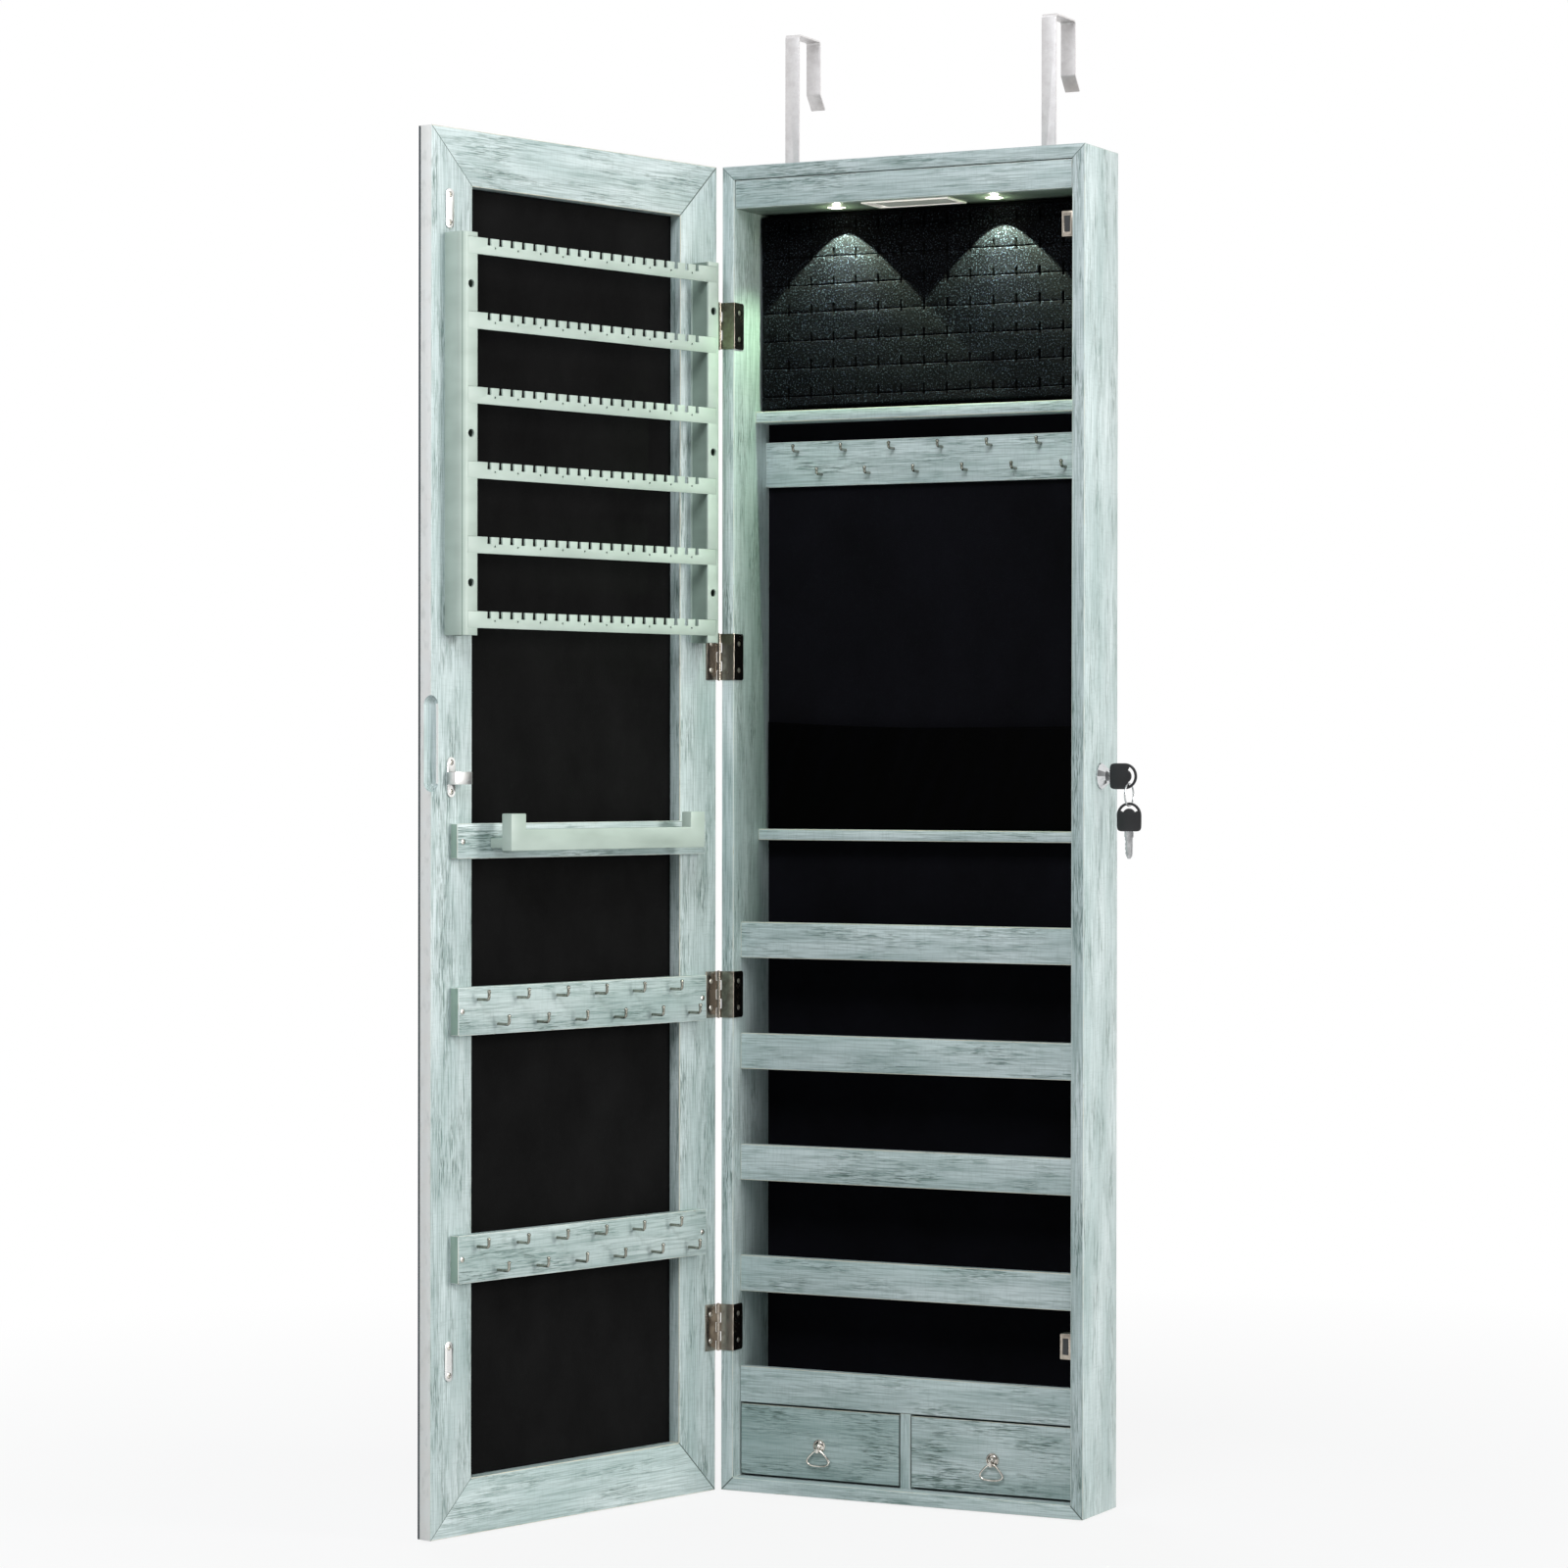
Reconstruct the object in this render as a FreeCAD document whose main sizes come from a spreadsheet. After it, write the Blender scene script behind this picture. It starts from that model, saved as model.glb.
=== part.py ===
import FreeCAD, Part
import math
import os
import re

import Sketcher
from FreeCAD import Placement, Rotation, Vector

# Jewelry mirror cabinet, millimetres, +Z up. The origin is on the back plane, half way across the width,
# at the bottom edge. +X is the lock side, -Y is the front. The door is modelled shut and then swung open.

sizes = {
    # carcass
    "CabinetHeight": 1200, "CabinetWidth": 356, "CabinetDepth": 76, "BoardThick": 12,
    "BackRecess": 2, "BackThick": 3, "LiningThick": 1, "GrooveDeep": 4, "GrooveGap": 0.1,
    # door
    "DoorGap": 3, "DoorThick": 13, "MirrorThick": 3, "FrameWide": 48, "CardThick": 1.5,
    "CardGap": 0.3, "DoorAngle": 104.97,
    "ScoopRadius": 8.7, "ScoopLow": 635, "ScoopLong": 82,
    # hinges: the pin stands outside the side board and in front of the carcass edge
    "AxisOut": 2.2, "AxisFront": 1.5, "KnuckleRadius": 2, "PinRadius": 0.95, "PinGap": 0.05,
    "HingeLong": 42, "LeafThick": 1, "LeafInset": 0.5, "DoorLeafWide": 13.3, "InnerLeafDeep": 17.3,
    "KnuckleGap": 0.3, "PinProud": 0.6, "HingeScrewApart": 24,
    "HingeLowest": 148, "HingeLow": 450, "HingeHigh": 756, "HingeHighest": 1056,
    # screws
    "ScrewHead": 2.4, "ScrewShank": 1.25, "ScrewLong": 8, "ScrewProud": 0.3, "HoleGap": 0.1,
    "CrossReach": 1.56, "CrossWide": 0.7, "CrossDeep": 0.5, "StrapScrewLong": 12, "BoardScrewBite": 7.2,
    # header: valance, soffit, lamps and battery box
    "ValanceTall": 26, "ValanceThick": 7, "ValanceSetback": 1.2, "ValanceGap": 0.8, "SoffitThick": 10,
    "LampApart": 156, "LampSetback": 31, "LampRadius": 7.7, "LampFlange": 9, "LampFlangeTaper": 0.6,
    "LampFlangeProud": 0.8, "LampPast": 2, "LensRadius": 6, "LensProud": 0.4,
    "BatterySetback": 9, "BatteryWide": 86, "BatteryDeep": 40, "BatteryRim": 4, "BezelProud": 1.5,
    "TrayTall": 14.5, "TrayWall": 1.5, "CellRadius": 5.2, "CellLong": 44.5, "CellGap": 0.15,
    "CoverTravel": 6, "CoverThick": 1.6, "CoverGap": 0.3, "CoverSink": 0.7, "RibTall": 0.4, "RibEnd": 3,
    "RibCount": 5,
    # ring cushion
    "CushionLow": 981, "CushionDeep": 20, "SlitFirst": 994.5, "SlitPitch": 25.2, "SlitDeep": 11,
    "SlitWide": 1.2, "FullRoll": 22.7, "CrownHigh": 2.2, "SoftGap": 0.3,
    # shelves, necklace board and pocket
    "ShelfThick": 10, "UpperShelfLow": 971, "UpperShelfDeep": 27.2, "MiddleShelfLow": 589.5,
    "MiddleShelfDeep": 20.5, "HookBoardLow": 913, "HookBoardTall": 41, "HookBoardThick": 6,
    "PocketTall": 98.1, "PocketSag": 6, "PocketRightDrop": 4.6, "PocketDeep": 10, "PocketSideDeep": 6,
    "ClothThick": 2,
    # guard rails, bays and drawers
    "RailTall": 32.5, "RailThick": 9, "RailSetback": 14.7, "RailLow": 79, "RailPitch": 101,
    "FloorThick": 6, "DividerThick": 10, "DrawerGap": 1, "DrawerFrontThick": 12, "DrawerLift": 2,
    "DrawerTopGap": 1.5, "DrawerBackGap": 2,
    "TrayWallThick": 5, "DrawerTrayTall": 54, "SlideGap": 0.3,
    # ring pulls
    "PullHigh": 44, "RosetteRadius": 6.2, "RosetteFace": 3.6, "RosetteThick": 1.8, "LugWide": 2.2,
    "LugTall": 4.6, "LugLong": 5.4, "PullAxisDrop": 3.4, "PullAxisOut": 3.4, "PullWire": 0.75,
    "PullWide": 20.5, "PullTall": 14, "PullRound": 3.6, "PullTopRound": 2.8, "PullHole": 1.2,
    # necklace and bracelet hooks
    "HookWire": 1.3, "NeckHookReach": 12, "NeckHookRise": 4.5, "NeckHookMargin": 65.6,
    "NeckRowHigh": 32, "NeckRowLow": 10.5, "DoorHookReach": 15, "DoorHookRise": 7, "DoorHookMargin": 68,
    "DoorRowHigh": 30.5, "DoorRowLow": 8.5, "HookTip": 1.7,
    # door furniture
    "BoardSide": 23, "DoorBoardTall": 41, "DoorBoardThick": 10, "UpperBoardLow": 427.5,
    "LowerBoardLow": 216.5, "BoardScrewIn": 5, "BraceletLow": 578, "BraceletTall": 30, "BraceletThick": 8.5,
    "BraceletScrewIn": 7, "BraceletScrewHigh": 14.4,
    "BarOff": 27.7, "BarThick": 11.6, "BarLow": 584.7, "BarTall": 18.3, "BarSide": 57,
    "UprightWide": 18, "UprightTall": 31.8, "ArmInset": 5, "ArmWide": 18, "ArmLift": 2, "ArmTall": 8.3,
    "EarringLow": 768, "EarringTall": 342, "EarringOff": 21.2, "EarringSide": 16, "PostWide": 18,
    "PostThick": 2, "PostRound": 7, "PostScrewIn": 10.7, "PostScrewLow": 44.6, "PostScrewPitch": 126.7,
    "BarGap": 0.2, "EarringBarTall": 14.2, "EarringBarThick": 2, "EarringBarTop": 1106,
    "EarringBarPitch": 63.5, "SlotWide": 3.2, "SlotDeep": 6, "SlotMargin": 96.65,
    "SlotCount": 20, "PinHole": 1, "PinHoleDrop": 8, "AccessHole": 3,
    # latch, strike plates and magnetic catches
    "StrikeTall": 34, "StrikeWide": 9.5, "StrikeThick": 1.2, "StrikeSide": 21, "StrikeScrewApart": 24,
    "StrikeHigh": 1130.8, "StrikeLow": 150.4, "CatchTall": 22.5, "CatchWide": 10.5, "CatchDeep": 14,
    "CatchSetback": 1.2, "MagnetGap": 0.2, "MagnetTall": 14, "MagnetWide": 5, "MagnetDeep": 6,
    "LatchSide": 18.5, "LatchDrop": 1.2, "LatchFoot": 9, "LatchThick": 1.2, "LatchOff": 10.7,
    "LatchScrewApart": 25, "FlangeLong": 20, "FlangeTall": 10.7, "FlangeDrop": 7.4,
    # lock and keys
    "LockHigh": 648.7, "LockSetback": 38.4, "BarrelRadius": 8.5, "BarrelInside": 9, "BezelRadius": 11.5,
    "BezelFace": 8.6, "BezelLong": 7, "PlugRadius": 6, "PlugGap": 0.1, "PlugInside": 1, "PlugSink": 0.5,
    "TailRadius": 3.4, "TailPast": 1.4, "NutThick": 3, "NutAcross": 22,
    "CamGap": 1.4, "CamThick": 1.6, "CamHub": 7.5, "CamArmNear": 8, "CamArmFar": 13, "CamReach": 39.9,
    "CamTip": 6, "CamHook": 12.3, "CamShoulder": 6, "CamRise": 3, "CamElbow": 4,
    "KeyThick": 2, "KeyRound": 11.4, "KeyStraight": 14, "KeyNeck": 4,
    "KeyLong": 24, "KeyReach": 22.6, "KeyGap": 0.15,
    "KeySlotIn": 5, "KeySlotOut": 9.2, "KeySlotHalf": 70, "KeyHang": 57, "RingPlay": 0.9,
    "RingRadius": 9.9, "RingWire": 0.8,
    # over-door straps
    "StrapLeftIn": 33.3, "StrapRightIn": 66.4, "StrapWide": 14, "StrapThick": 1.5, "StrapHigh": 129,
    "StrapBelow": 45, "DoorSlot": 42, "StrapDrop": 49, "StrapFlareDrop": 13, "StrapFlareOut": 10,
    "StrapBend": 2, "StrapGap": 0.3, "StrapScrewHigh": 6, "StrapScrewLow": 33,
}

doc = FreeCAD.newDocument("JewelryMirrorCabinet")
sheet = doc.addObject("Spreadsheet::Sheet", "Sizes")
for row, (alias, value) in enumerate(sizes.items(), start=1):
    sheet.set(f"A{row}", alias)
    sheet.set(f"B{row}", str(value))
    sheet.setAlias(f"B{row}", alias)
doc.recompute()

nodes = []


def bound(expression):
    """The expression with each size's name pointed at its cell."""
    return re.sub(r"[A-Za-z]\w*", lambda word: ("Sizes." if word[0] in sizes else "") + word[0],
                  str(expression))


def num(expression):
    """The expression's value in millimetres or degrees."""
    return float(doc.Sizes.evalExpression(bound(expression)))


def node(label, item):
    """Marks an object as one sub-part of the cabinet, written under its label."""
    item.Label = label
    nodes.append(item)
    return item


def place(item, at):
    for axis, expression in zip("xyz", at):
        item.setExpression(f"Placement.Base.{axis}", bound(expression))
    return item


def box(x, y, z):
    """A box between bound low and high limits on each axis."""
    item = doc.addObject("Part::Box", "Block")
    for side, (low, high) in zip(("Length", "Width", "Height"), (x, y, z)):
        item.setExpression(side, bound(f"({high}) - ({low})"))
    return place(item, [x[0], y[0], z[0]])


turned = {"X": Rotation(Vector(0, 1, 0), 90), "Y": Rotation(Vector(1, 0, 0), -90), "Z": Rotation()}


def rod(radius, axis, start, end, at):
    """A cylinder along an axis from start to end; at holds its place on the other two axes."""
    item = doc.addObject("Part::Cylinder", "Rod")
    item.Placement = Placement(Vector(), turned[axis])
    item.setExpression("Radius", bound(radius))
    item.setExpression("Height", bound(f"({end}) - ({start})"))
    base = list(at)
    base.insert("XYZ".index(axis), start)
    return place(item, base)


def cone(low_radius, high_radius, axis, start, end, at):
    item = doc.addObject("Part::Cone", "Taper")
    item.Placement = Placement(Vector(), turned[axis])
    item.setExpression("Radius1", bound(low_radius))
    item.setExpression("Radius2", bound(high_radius))
    item.setExpression("Height", bound(f"({end}) - ({start})"))
    base = list(at)
    base.insert("XYZ".index(axis), start)
    return place(item, base)


def ball(radius, at):
    item = doc.addObject("Part::Sphere", "Ball")
    item.setExpression("Radius", bound(radius))
    return place(item, at)


def fuse(*items):
    item = doc.addObject("Part::MultiFuse", "Joined")
    item.Shapes = list(items)
    return item


def group(*items):
    item = doc.addObject("Part::Compound", "Group")
    item.Links = list(items)
    return item


def cut(base, *tools):
    item = doc.addObject("Part::Cut", "Cut")
    item.Base = base
    item.Tool = tools[0] if len(tools) == 1 else group(*tools)
    return item


def outline(body, role, points):
    """A closed sketch of straight lines whose corners are bound to expressions."""
    sketch = body.newObject("Sketcher::SketchObject", "Outline")
    plane = [item for item in body.Origin.OriginFeatures if item.Role == role][0]
    sketch.AttachmentSupport = [(plane, "")]
    sketch.MapMode = "FlatFace"
    corners = [Vector(num(across), num(up), 0) for across, up in points]
    count = len(points)
    for index in range(count):
        line = Part.LineSegment(corners[index], corners[(index + 1) % count])
        sketch.addGeometry(line, False)
    for index in range(count):
        sketch.addConstraint(Sketcher.Constraint("Coincident", index, 2, (index + 1) % count, 1))
    for index, (corner, point) in enumerate(zip(corners, points)):
        for kind, value, expression in zip(("DistanceX", "DistanceY"), corner, point):
            rule = sketch.addConstraint(Sketcher.Constraint(kind, -1, 1, index, 1, value))
            sketch.setExpression(f"Constraints[{rule}]", bound(expression))
    return sketch


def plate(role, points, start, end):
    """A padded outline, from start to end along the plane's row axis."""
    body = doc.addObject("PartDesign::Body", "Plate")
    sketch = outline(body, role, points)
    pad = body.newObject("PartDesign::Pad", "Pad")
    pad.Profile = sketch
    pad.setExpression("Length", bound(f"({end}) - ({start})"))
    sketch.Visibility = False
    axis, foot = {"XZ_Plane": ("y", end), "XY_Plane": ("z", start), "YZ_Plane": ("x", start)}[role]
    body.setExpression(f"Placement.Base.{axis}", bound(foot))
    return body


def edge_names(shape, plane, points):
    """The names of the edges that stand square to a plane, such as "xy", at the given points of it."""
    names = []
    for index, edge in enumerate(shape.Edges, start=1):
        ends = [vertex.Point for vertex in edge.Vertexes]
        if any(all(abs(getattr(end, axis) - value) < 0.01
                   for end in ends for axis, value in zip(plane, point)) for point in points):
            names.append(f"Edge{index}")
    return names


def rounded(body, radius, plane, points):
    """A fillet on the padded plate's edges that stand square to the plane at the given points."""
    doc.recompute()
    base = body.Tip
    spots = [(num(one), num(two)) for one, two in points]
    fillet = body.newObject("PartDesign::Fillet", "Round")
    fillet.Base = (base, edge_names(base.Shape, plane, spots))
    fillet.setExpression("Radius", bound(radius))
    return fillet


def feature(shape):
    item = doc.addObject("Part::Feature", "Shaped")
    item.Shape = shape
    return item


def copies(source, places):
    """One solid for each place; a place is a Placement applied to the source's shape."""
    doc.recompute()
    solids = [solid.transformed(spot.toMatrix()) for spot in places for solid in source.Shape.Solids]
    return feature(Part.makeCompound(solids))


# Planes that many pieces share.
side = "(CabinetWidth/2)"
inner = "(CabinetWidth/2 - BoardThick)"
front = "(-CabinetDepth)"
lining = "(-BackRecess - BackThick - LiningThick)"
railFront = "(-CabinetDepth + RailSetback)"
railBack = "(-CabinetDepth + RailSetback + RailThick)"
soffit = "(CabinetHeight - BoardThick - ValanceTall)"
strapLeft = "(-CabinetWidth/2 + StrapLeftIn)"
strapRight = "(CabinetWidth/2 - StrapRightIn)"
axisX = "(-CabinetWidth/2 - AxisOut)"
axisY = "(-CabinetDepth - AxisFront)"
lockY = "(-CabinetDepth + LockSetback)"
across = (f"-{inner}", inner)
hingeHeights = ["HingeLowest", "HingeLow", "HingeHigh", "HingeHighest"]


def off(height):
    """The row y of a height above the shut door's inner face."""
    return f"(-CabinetDepth - DoorGap + {height})"


swing = Placement(Vector(), Rotation(Vector(0, 0, 1), -num("DoorAngle")), Vector(num(axisX), num(axisY), 0))


def on_door(label, *items):
    """A sub-part of the door, modelled shut and swung to the open rest."""
    item = group(*items)
    item.Placement = swing
    return node(label, item)


# Screws: a flat cross-head and a plain shank, the head's seat at y 0 and the shank along -Y.

def screw(length):
    head = rod("ScrewHead", "Y", "0", "LeafThick + ScrewProud", ("0", "0"))
    shank = rod("ScrewShank", "Y", f"-({length})", "0", ("0", "0"))
    depth = ("LeafThick + ScrewProud - CrossDeep", "LeafThick + ScrewProud + 1")
    reach = ("-CrossReach", "CrossReach")
    width = ("-CrossWide/2", "CrossWide/2")
    cross = fuse(box(reach, depth, width), box(width, depth, reach))
    return cut(fuse(head, shank), cross)


def holes(radius, axis, start, end, spots):
    """Drilled holes, as rods to cut away."""
    return [rod(radius, axis, start, end, spot) for spot in spots]


headHole = "ScrewHead + HoleGap"
shankHole = "ScrewShank + HoleGap"
turnLeft = Rotation(Vector(0, 0, 1), -90)


# Carcass boards, mitred at the corners and grooved for the back panel.

grooveY = ("-BackRecess - BackThick - GrooveGap", "-BackRecess + GrooveGap")
sideSpots = [("-CabinetDepth + InnerLeafDeep/2", f"{level} {sign} HingeScrewApart/2")
             for level in hingeHeights for sign in "+-"]
strapSpots = [(middle, "CabinetHeight - StrapScrewHigh") for middle in (strapLeft, strapRight)]
soffitSpots = [(middle, "CabinetHeight - StrapScrewLow") for middle in (strapLeft, strapRight)]


def side_board(sign):
    outer = f"{sign}*CabinetWidth/2"
    edge = f"{sign}*{inner}"
    corners = [(outer, "0"), (outer, "CabinetHeight"), (edge, "CabinetHeight - BoardThick"),
               (edge, "BoardThick")]
    board = plate("XZ_Plane", corners, front, "0")
    groove = sorted([edge, f"{edge} + {sign}*GrooveDeep"], key=num)
    return board, box(groove, grooveY, ("0", "CabinetHeight"))


leftBoard, leftGroove = side_board(-1)
leftHoles = holes(shankHole, "X", f"-{inner} - ScrewLong - 1", f"-{inner}", sideSpots)
node("left_side_board", cut(leftBoard, leftGroove, *leftHoles))

rightBoard, rightGroove = side_board(1)
lockHole = rod("BarrelRadius + HoleGap", "X", f"{inner} - 1", f"{side} + 1", (lockY, "LockHigh"))
node("right_side_board", cut(rightBoard, rightGroove, lockHole))

topCorners = [(f"-{side}", "CabinetHeight"), (side, "CabinetHeight"),
              (inner, "CabinetHeight - BoardThick"), (f"-{inner}", "CabinetHeight - BoardThick")]
grooveX = (f"-{inner} - GrooveDeep", f"{inner} + GrooveDeep")
topGroove = box(grooveX, grooveY, ("CabinetHeight - BoardThick", "CabinetHeight - BoardThick + GrooveDeep"))
notches = [box((f"{middle} - StrapWide/2 - StrapGap", f"{middle} + StrapWide/2 + StrapGap"),
               ("-BackRecess", "1"), ("CabinetHeight - BoardThick - 1", "CabinetHeight + 1"))
           for middle in (strapLeft, strapRight)]
topHoles = holes(shankHole, "Y", "-BackRecess - StrapScrewLong - 1", "-BackRecess - 0.01", strapSpots)
node("top_board", cut(cut(plate("XZ_Plane", topCorners, front, "0"), topGroove), *notches, *topHoles))

bottomCorners = [(f"-{side}", "0"), (side, "0"), (inner, "BoardThick"), (f"-{inner}", "BoardThick")]
bottomGroove = box(grooveX, grooveY, ("BoardThick - GrooveDeep", "BoardThick"))
node("bottom_board", cut(plate("XZ_Plane", bottomCorners, front, "0"), bottomGroove))

backReach = f"({inner} + GrooveDeep - GrooveGap)"
backHigh = "CabinetHeight - BoardThick + GrooveDeep - GrooveGap"
backPanel = box((f"-{backReach}", backReach), ("-BackRecess - BackThick", "-BackRecess"),
                ("BoardThick - GrooveDeep + GrooveGap", backHigh))
node("back_panel", cut(backPanel, *holes(shankHole, "Y", "-BackRecess - BackThick - 1", "0", soffitSpots)))

liningSheet = box(across, (lining, "-BackRecess - BackThick"), ("BoardThick", "CabinetHeight - BoardThick"))
node("back_lining", cut(liningSheet, *holes(shankHole, "Y", f"{lining} - 1", "-BackRecess", soffitSpots)))


# Header: a false front, and behind it the soffit that holds the lamps and the battery box.

valanceBack = "(-CabinetDepth + ValanceSetback + ValanceThick)"
valanceTop = "CabinetHeight - BoardThick"
node("valance", box((f"-{inner} + ValanceGap", f"{inner} - ValanceGap"),
                    ("-CabinetDepth + ValanceSetback", valanceBack), (soffit, f"{valanceTop} - ValanceGap")))

lampSpots = [(f"{sign}LampApart/2", "-CabinetDepth + LampSetback") for sign in ("-", "")]
batteryY = ("-CabinetDepth + BatterySetback", "-CabinetDepth + BatterySetback + BatteryDeep")
trayX = "(BatteryWide/2 - BatteryRim)"
trayY = (f"({batteryY[0]} + BatteryRim)", f"({batteryY[1]} - BatteryRim)")
soffitBoard = box(across, (valanceBack, lining), (soffit, f"{soffit} + SoffitThick"))
lampHoles = holes("LampRadius + HoleGap", "Z", f"{soffit} - 1", f"{soffit} + SoffitThick + 1", lampSpots)
trayHole = box((f"-{trayX} - TrayWall - HoleGap", f"{trayX} + TrayWall + HoleGap"),
               (f"{trayY[0]} - TrayWall - HoleGap", f"{trayY[1]} + TrayWall + HoleGap"),
               (f"{soffit} - 1", f"{soffit} + SoffitThick + 1"))
soffitHoles = holes(shankHole, "Y", f"{lining} - StrapScrewLong", f"{lining} + 1", soffitSpots)
node("light_soffit", cut(soffitBoard, trayHole, *lampHoles, *soffitHoles))

bezels = []
lenses = []
for spot in lampSpots:
    rim = f"{soffit} - LampFlangeProud"
    flange = cone("LampFlange - LampFlangeTaper", "LampFlange", "Z", rim, soffit, spot)
    barrel = rod("LampRadius", "Z", soffit, f"{soffit} + SoffitThick + LampPast", spot)
    bore = rod("LensRadius + HoleGap", "Z", f"{soffit} - 2", f"{soffit} + SoffitThick", spot)
    bezels.append(cut(fuse(flange, barrel), bore))
    lenses.append(rod("LensRadius", "Z", f"{soffit} - LensProud", f"{soffit} + SoffitThick", spot))
node("lamp_bezels", group(*bezels))
node("lamp_lenses", group(*lenses))

trayRim = box(("-BatteryWide/2", "BatteryWide/2"), batteryY, (f"{soffit} - BezelProud", soffit))
trayShell = box((f"-{trayX} - TrayWall", f"{trayX} + TrayWall"),
                (f"{trayY[0]} - TrayWall", f"{trayY[1]} + TrayWall"), (soffit, f"{soffit} + TrayTall"))
trayInside = box((f"-{trayX}", trayX), trayY,
                 (f"{soffit} - BezelProud - 1", f"{soffit} + TrayTall - TrayWall"))
node("battery_tray", cut(fuse(trayRim, trayShell), trayInside))

coverLow = f"({soffit} - BezelProud + CoverSink)"
coverY = (f"{trayY[0]} + CoverGap", f"{trayY[1]} - CoverGap")
coverX = (f"(-{trayX} + CoverGap + CoverTravel)", f"({trayX} - CoverGap)")
ribPitch = f"(({coverY[1]}) - ({coverY[0]}))/RibCount"
ribs = [box((f"{coverX[0]} + RibEnd", f"{coverX[1]} - RibEnd"),
            (f"({coverY[0]}) + {ribPitch}*{count + 0.3}", f"({coverY[0]}) + {ribPitch}*{count + 0.7}"),
            (f"{coverLow} - RibTall", coverLow)) for count in range(int(num("RibCount")))]
node("battery_cover", fuse(box(coverX, coverY, (coverLow, f"{coverLow} + CoverThick")), *ribs))

cellHigh = f"({coverLow} + CoverThick + CellGap*2 + CellRadius)"
cells = [rod("CellRadius", "X", "-CellLong/2", "CellLong/2",
             (f"({trayY[0]} + {trayY[1]})/2 + {step}*(2*CellRadius + CellGap)", cellHigh))
         for step in (-1, 0, 1)]
node("battery_cells", group(*cells))


# Ring cushion: a roll between each pair of slits, the same section all the way across.

def cushion_section():
    back = num(lining)
    mouth = back - num("CushionDeep - CrownHigh")
    low = num("CushionLow")
    high = num(f"{soffit} - SoftGap")
    half = num("SlitWide/2")
    slits = []
    level = num("SlitFirst")
    while level < high - num("SlitPitch/3"):
        slits.append(level)
        level += num("SlitPitch")
    edges = []
    start = Vector(0, mouth, low)
    for end in slits + [high + half]:
        stop = Vector(0, mouth, end - half)
        crown = num("CrownHigh") * min(1, (stop.z - start.z) / num("FullRoll"))
        peak = Vector(0, mouth - crown, (start.z + stop.z) / 2)
        edges.append(Part.Arc(start, peak, stop).toShape())
        if end < high:
            root = Vector(0, mouth + num("SlitDeep"), end)
            start = Vector(0, mouth, end + half)
            edges.append(Part.LineSegment(stop, root).toShape())
            edges.append(Part.LineSegment(root, start).toShape())
    rear = [stop, Vector(0, back, high), Vector(0, back, low), Vector(0, mouth, low)]
    edges += [Part.LineSegment(one, two).toShape() for one, two in zip(rear, rear[1:])]
    return Part.Face(Part.Wire(Part.__sortEdges__(edges)))


cushionWide = num(f"2*({inner} - SoftGap)")
cushion = cushion_section().extrude(Vector(cushionWide, 0, 0))
cushion.translate(Vector(-cushionWide / 2, 0, 0))
node("ring_cushion", feature(cushion))


# Shelves, necklace board and the velvet pocket.

def shelf(low, deep):
    return box(across, (f"{lining} - {deep}", lining), (low, f"{low} + ShelfThick"))


node("upper_shelf", shelf("UpperShelfLow", "UpperShelfDeep"))
node("middle_shelf", shelf("MiddleShelfLow", "MiddleShelfDeep"))
node("necklace_hook_board", box(across, (f"{lining} - HookBoardThick", lining),
                                ("HookBoardLow", "HookBoardLow + HookBoardTall")))


def hook(reach, rise):
    """A wire hook along -Y that turns up and ends in a small ball; its root is at the origin."""
    wire = num("HookWire")
    bend = 2 * wire
    length = num(reach) - wire
    knee = Vector(0, -length + bend, 0)
    elbow = Vector(0, -length + bend - bend * math.sin(math.pi / 4), bend - bend * math.cos(math.pi / 4))
    turn = Vector(0, -length, bend)
    tip = Vector(0, -length, num(rise))
    path = Part.Wire([Part.LineSegment(Vector(), knee).toShape(), Part.Arc(knee, elbow, turn).toShape(),
                      Part.LineSegment(turn, tip).toShape()])
    section = Part.Wire([Part.Circle(Vector(), Vector(0, -1, 0), wire).toShape()])
    stem = path.makePipeShell([section], True, False)
    return feature(stem.fuse(Part.makeSphere(num("HookTip"), tip)))


def hook_rows(root, low, pitch, high, deep):
    """Two rows of six hooks, the lower row half a pitch to +X, as placements."""
    spots = [((count - 2.5 - 0.25) * pitch, low + high) for count in range(6)]
    spots += [((count - 2.5 + 0.25) * pitch, low + deep) for count in range(6)]
    return [Placement(Vector(over, root, level), Rotation()) for over, level in spots]


neckSpots = hook_rows(num(f"{lining} - HookBoardThick"), num("HookBoardLow"),
                      num("(CabinetWidth - NeckHookMargin)/6"), num("NeckRowHigh"), num("NeckRowLow"))
node("necklace_hooks", copies(hook("NeckHookReach", "NeckHookRise"), neckSpots))


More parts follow.
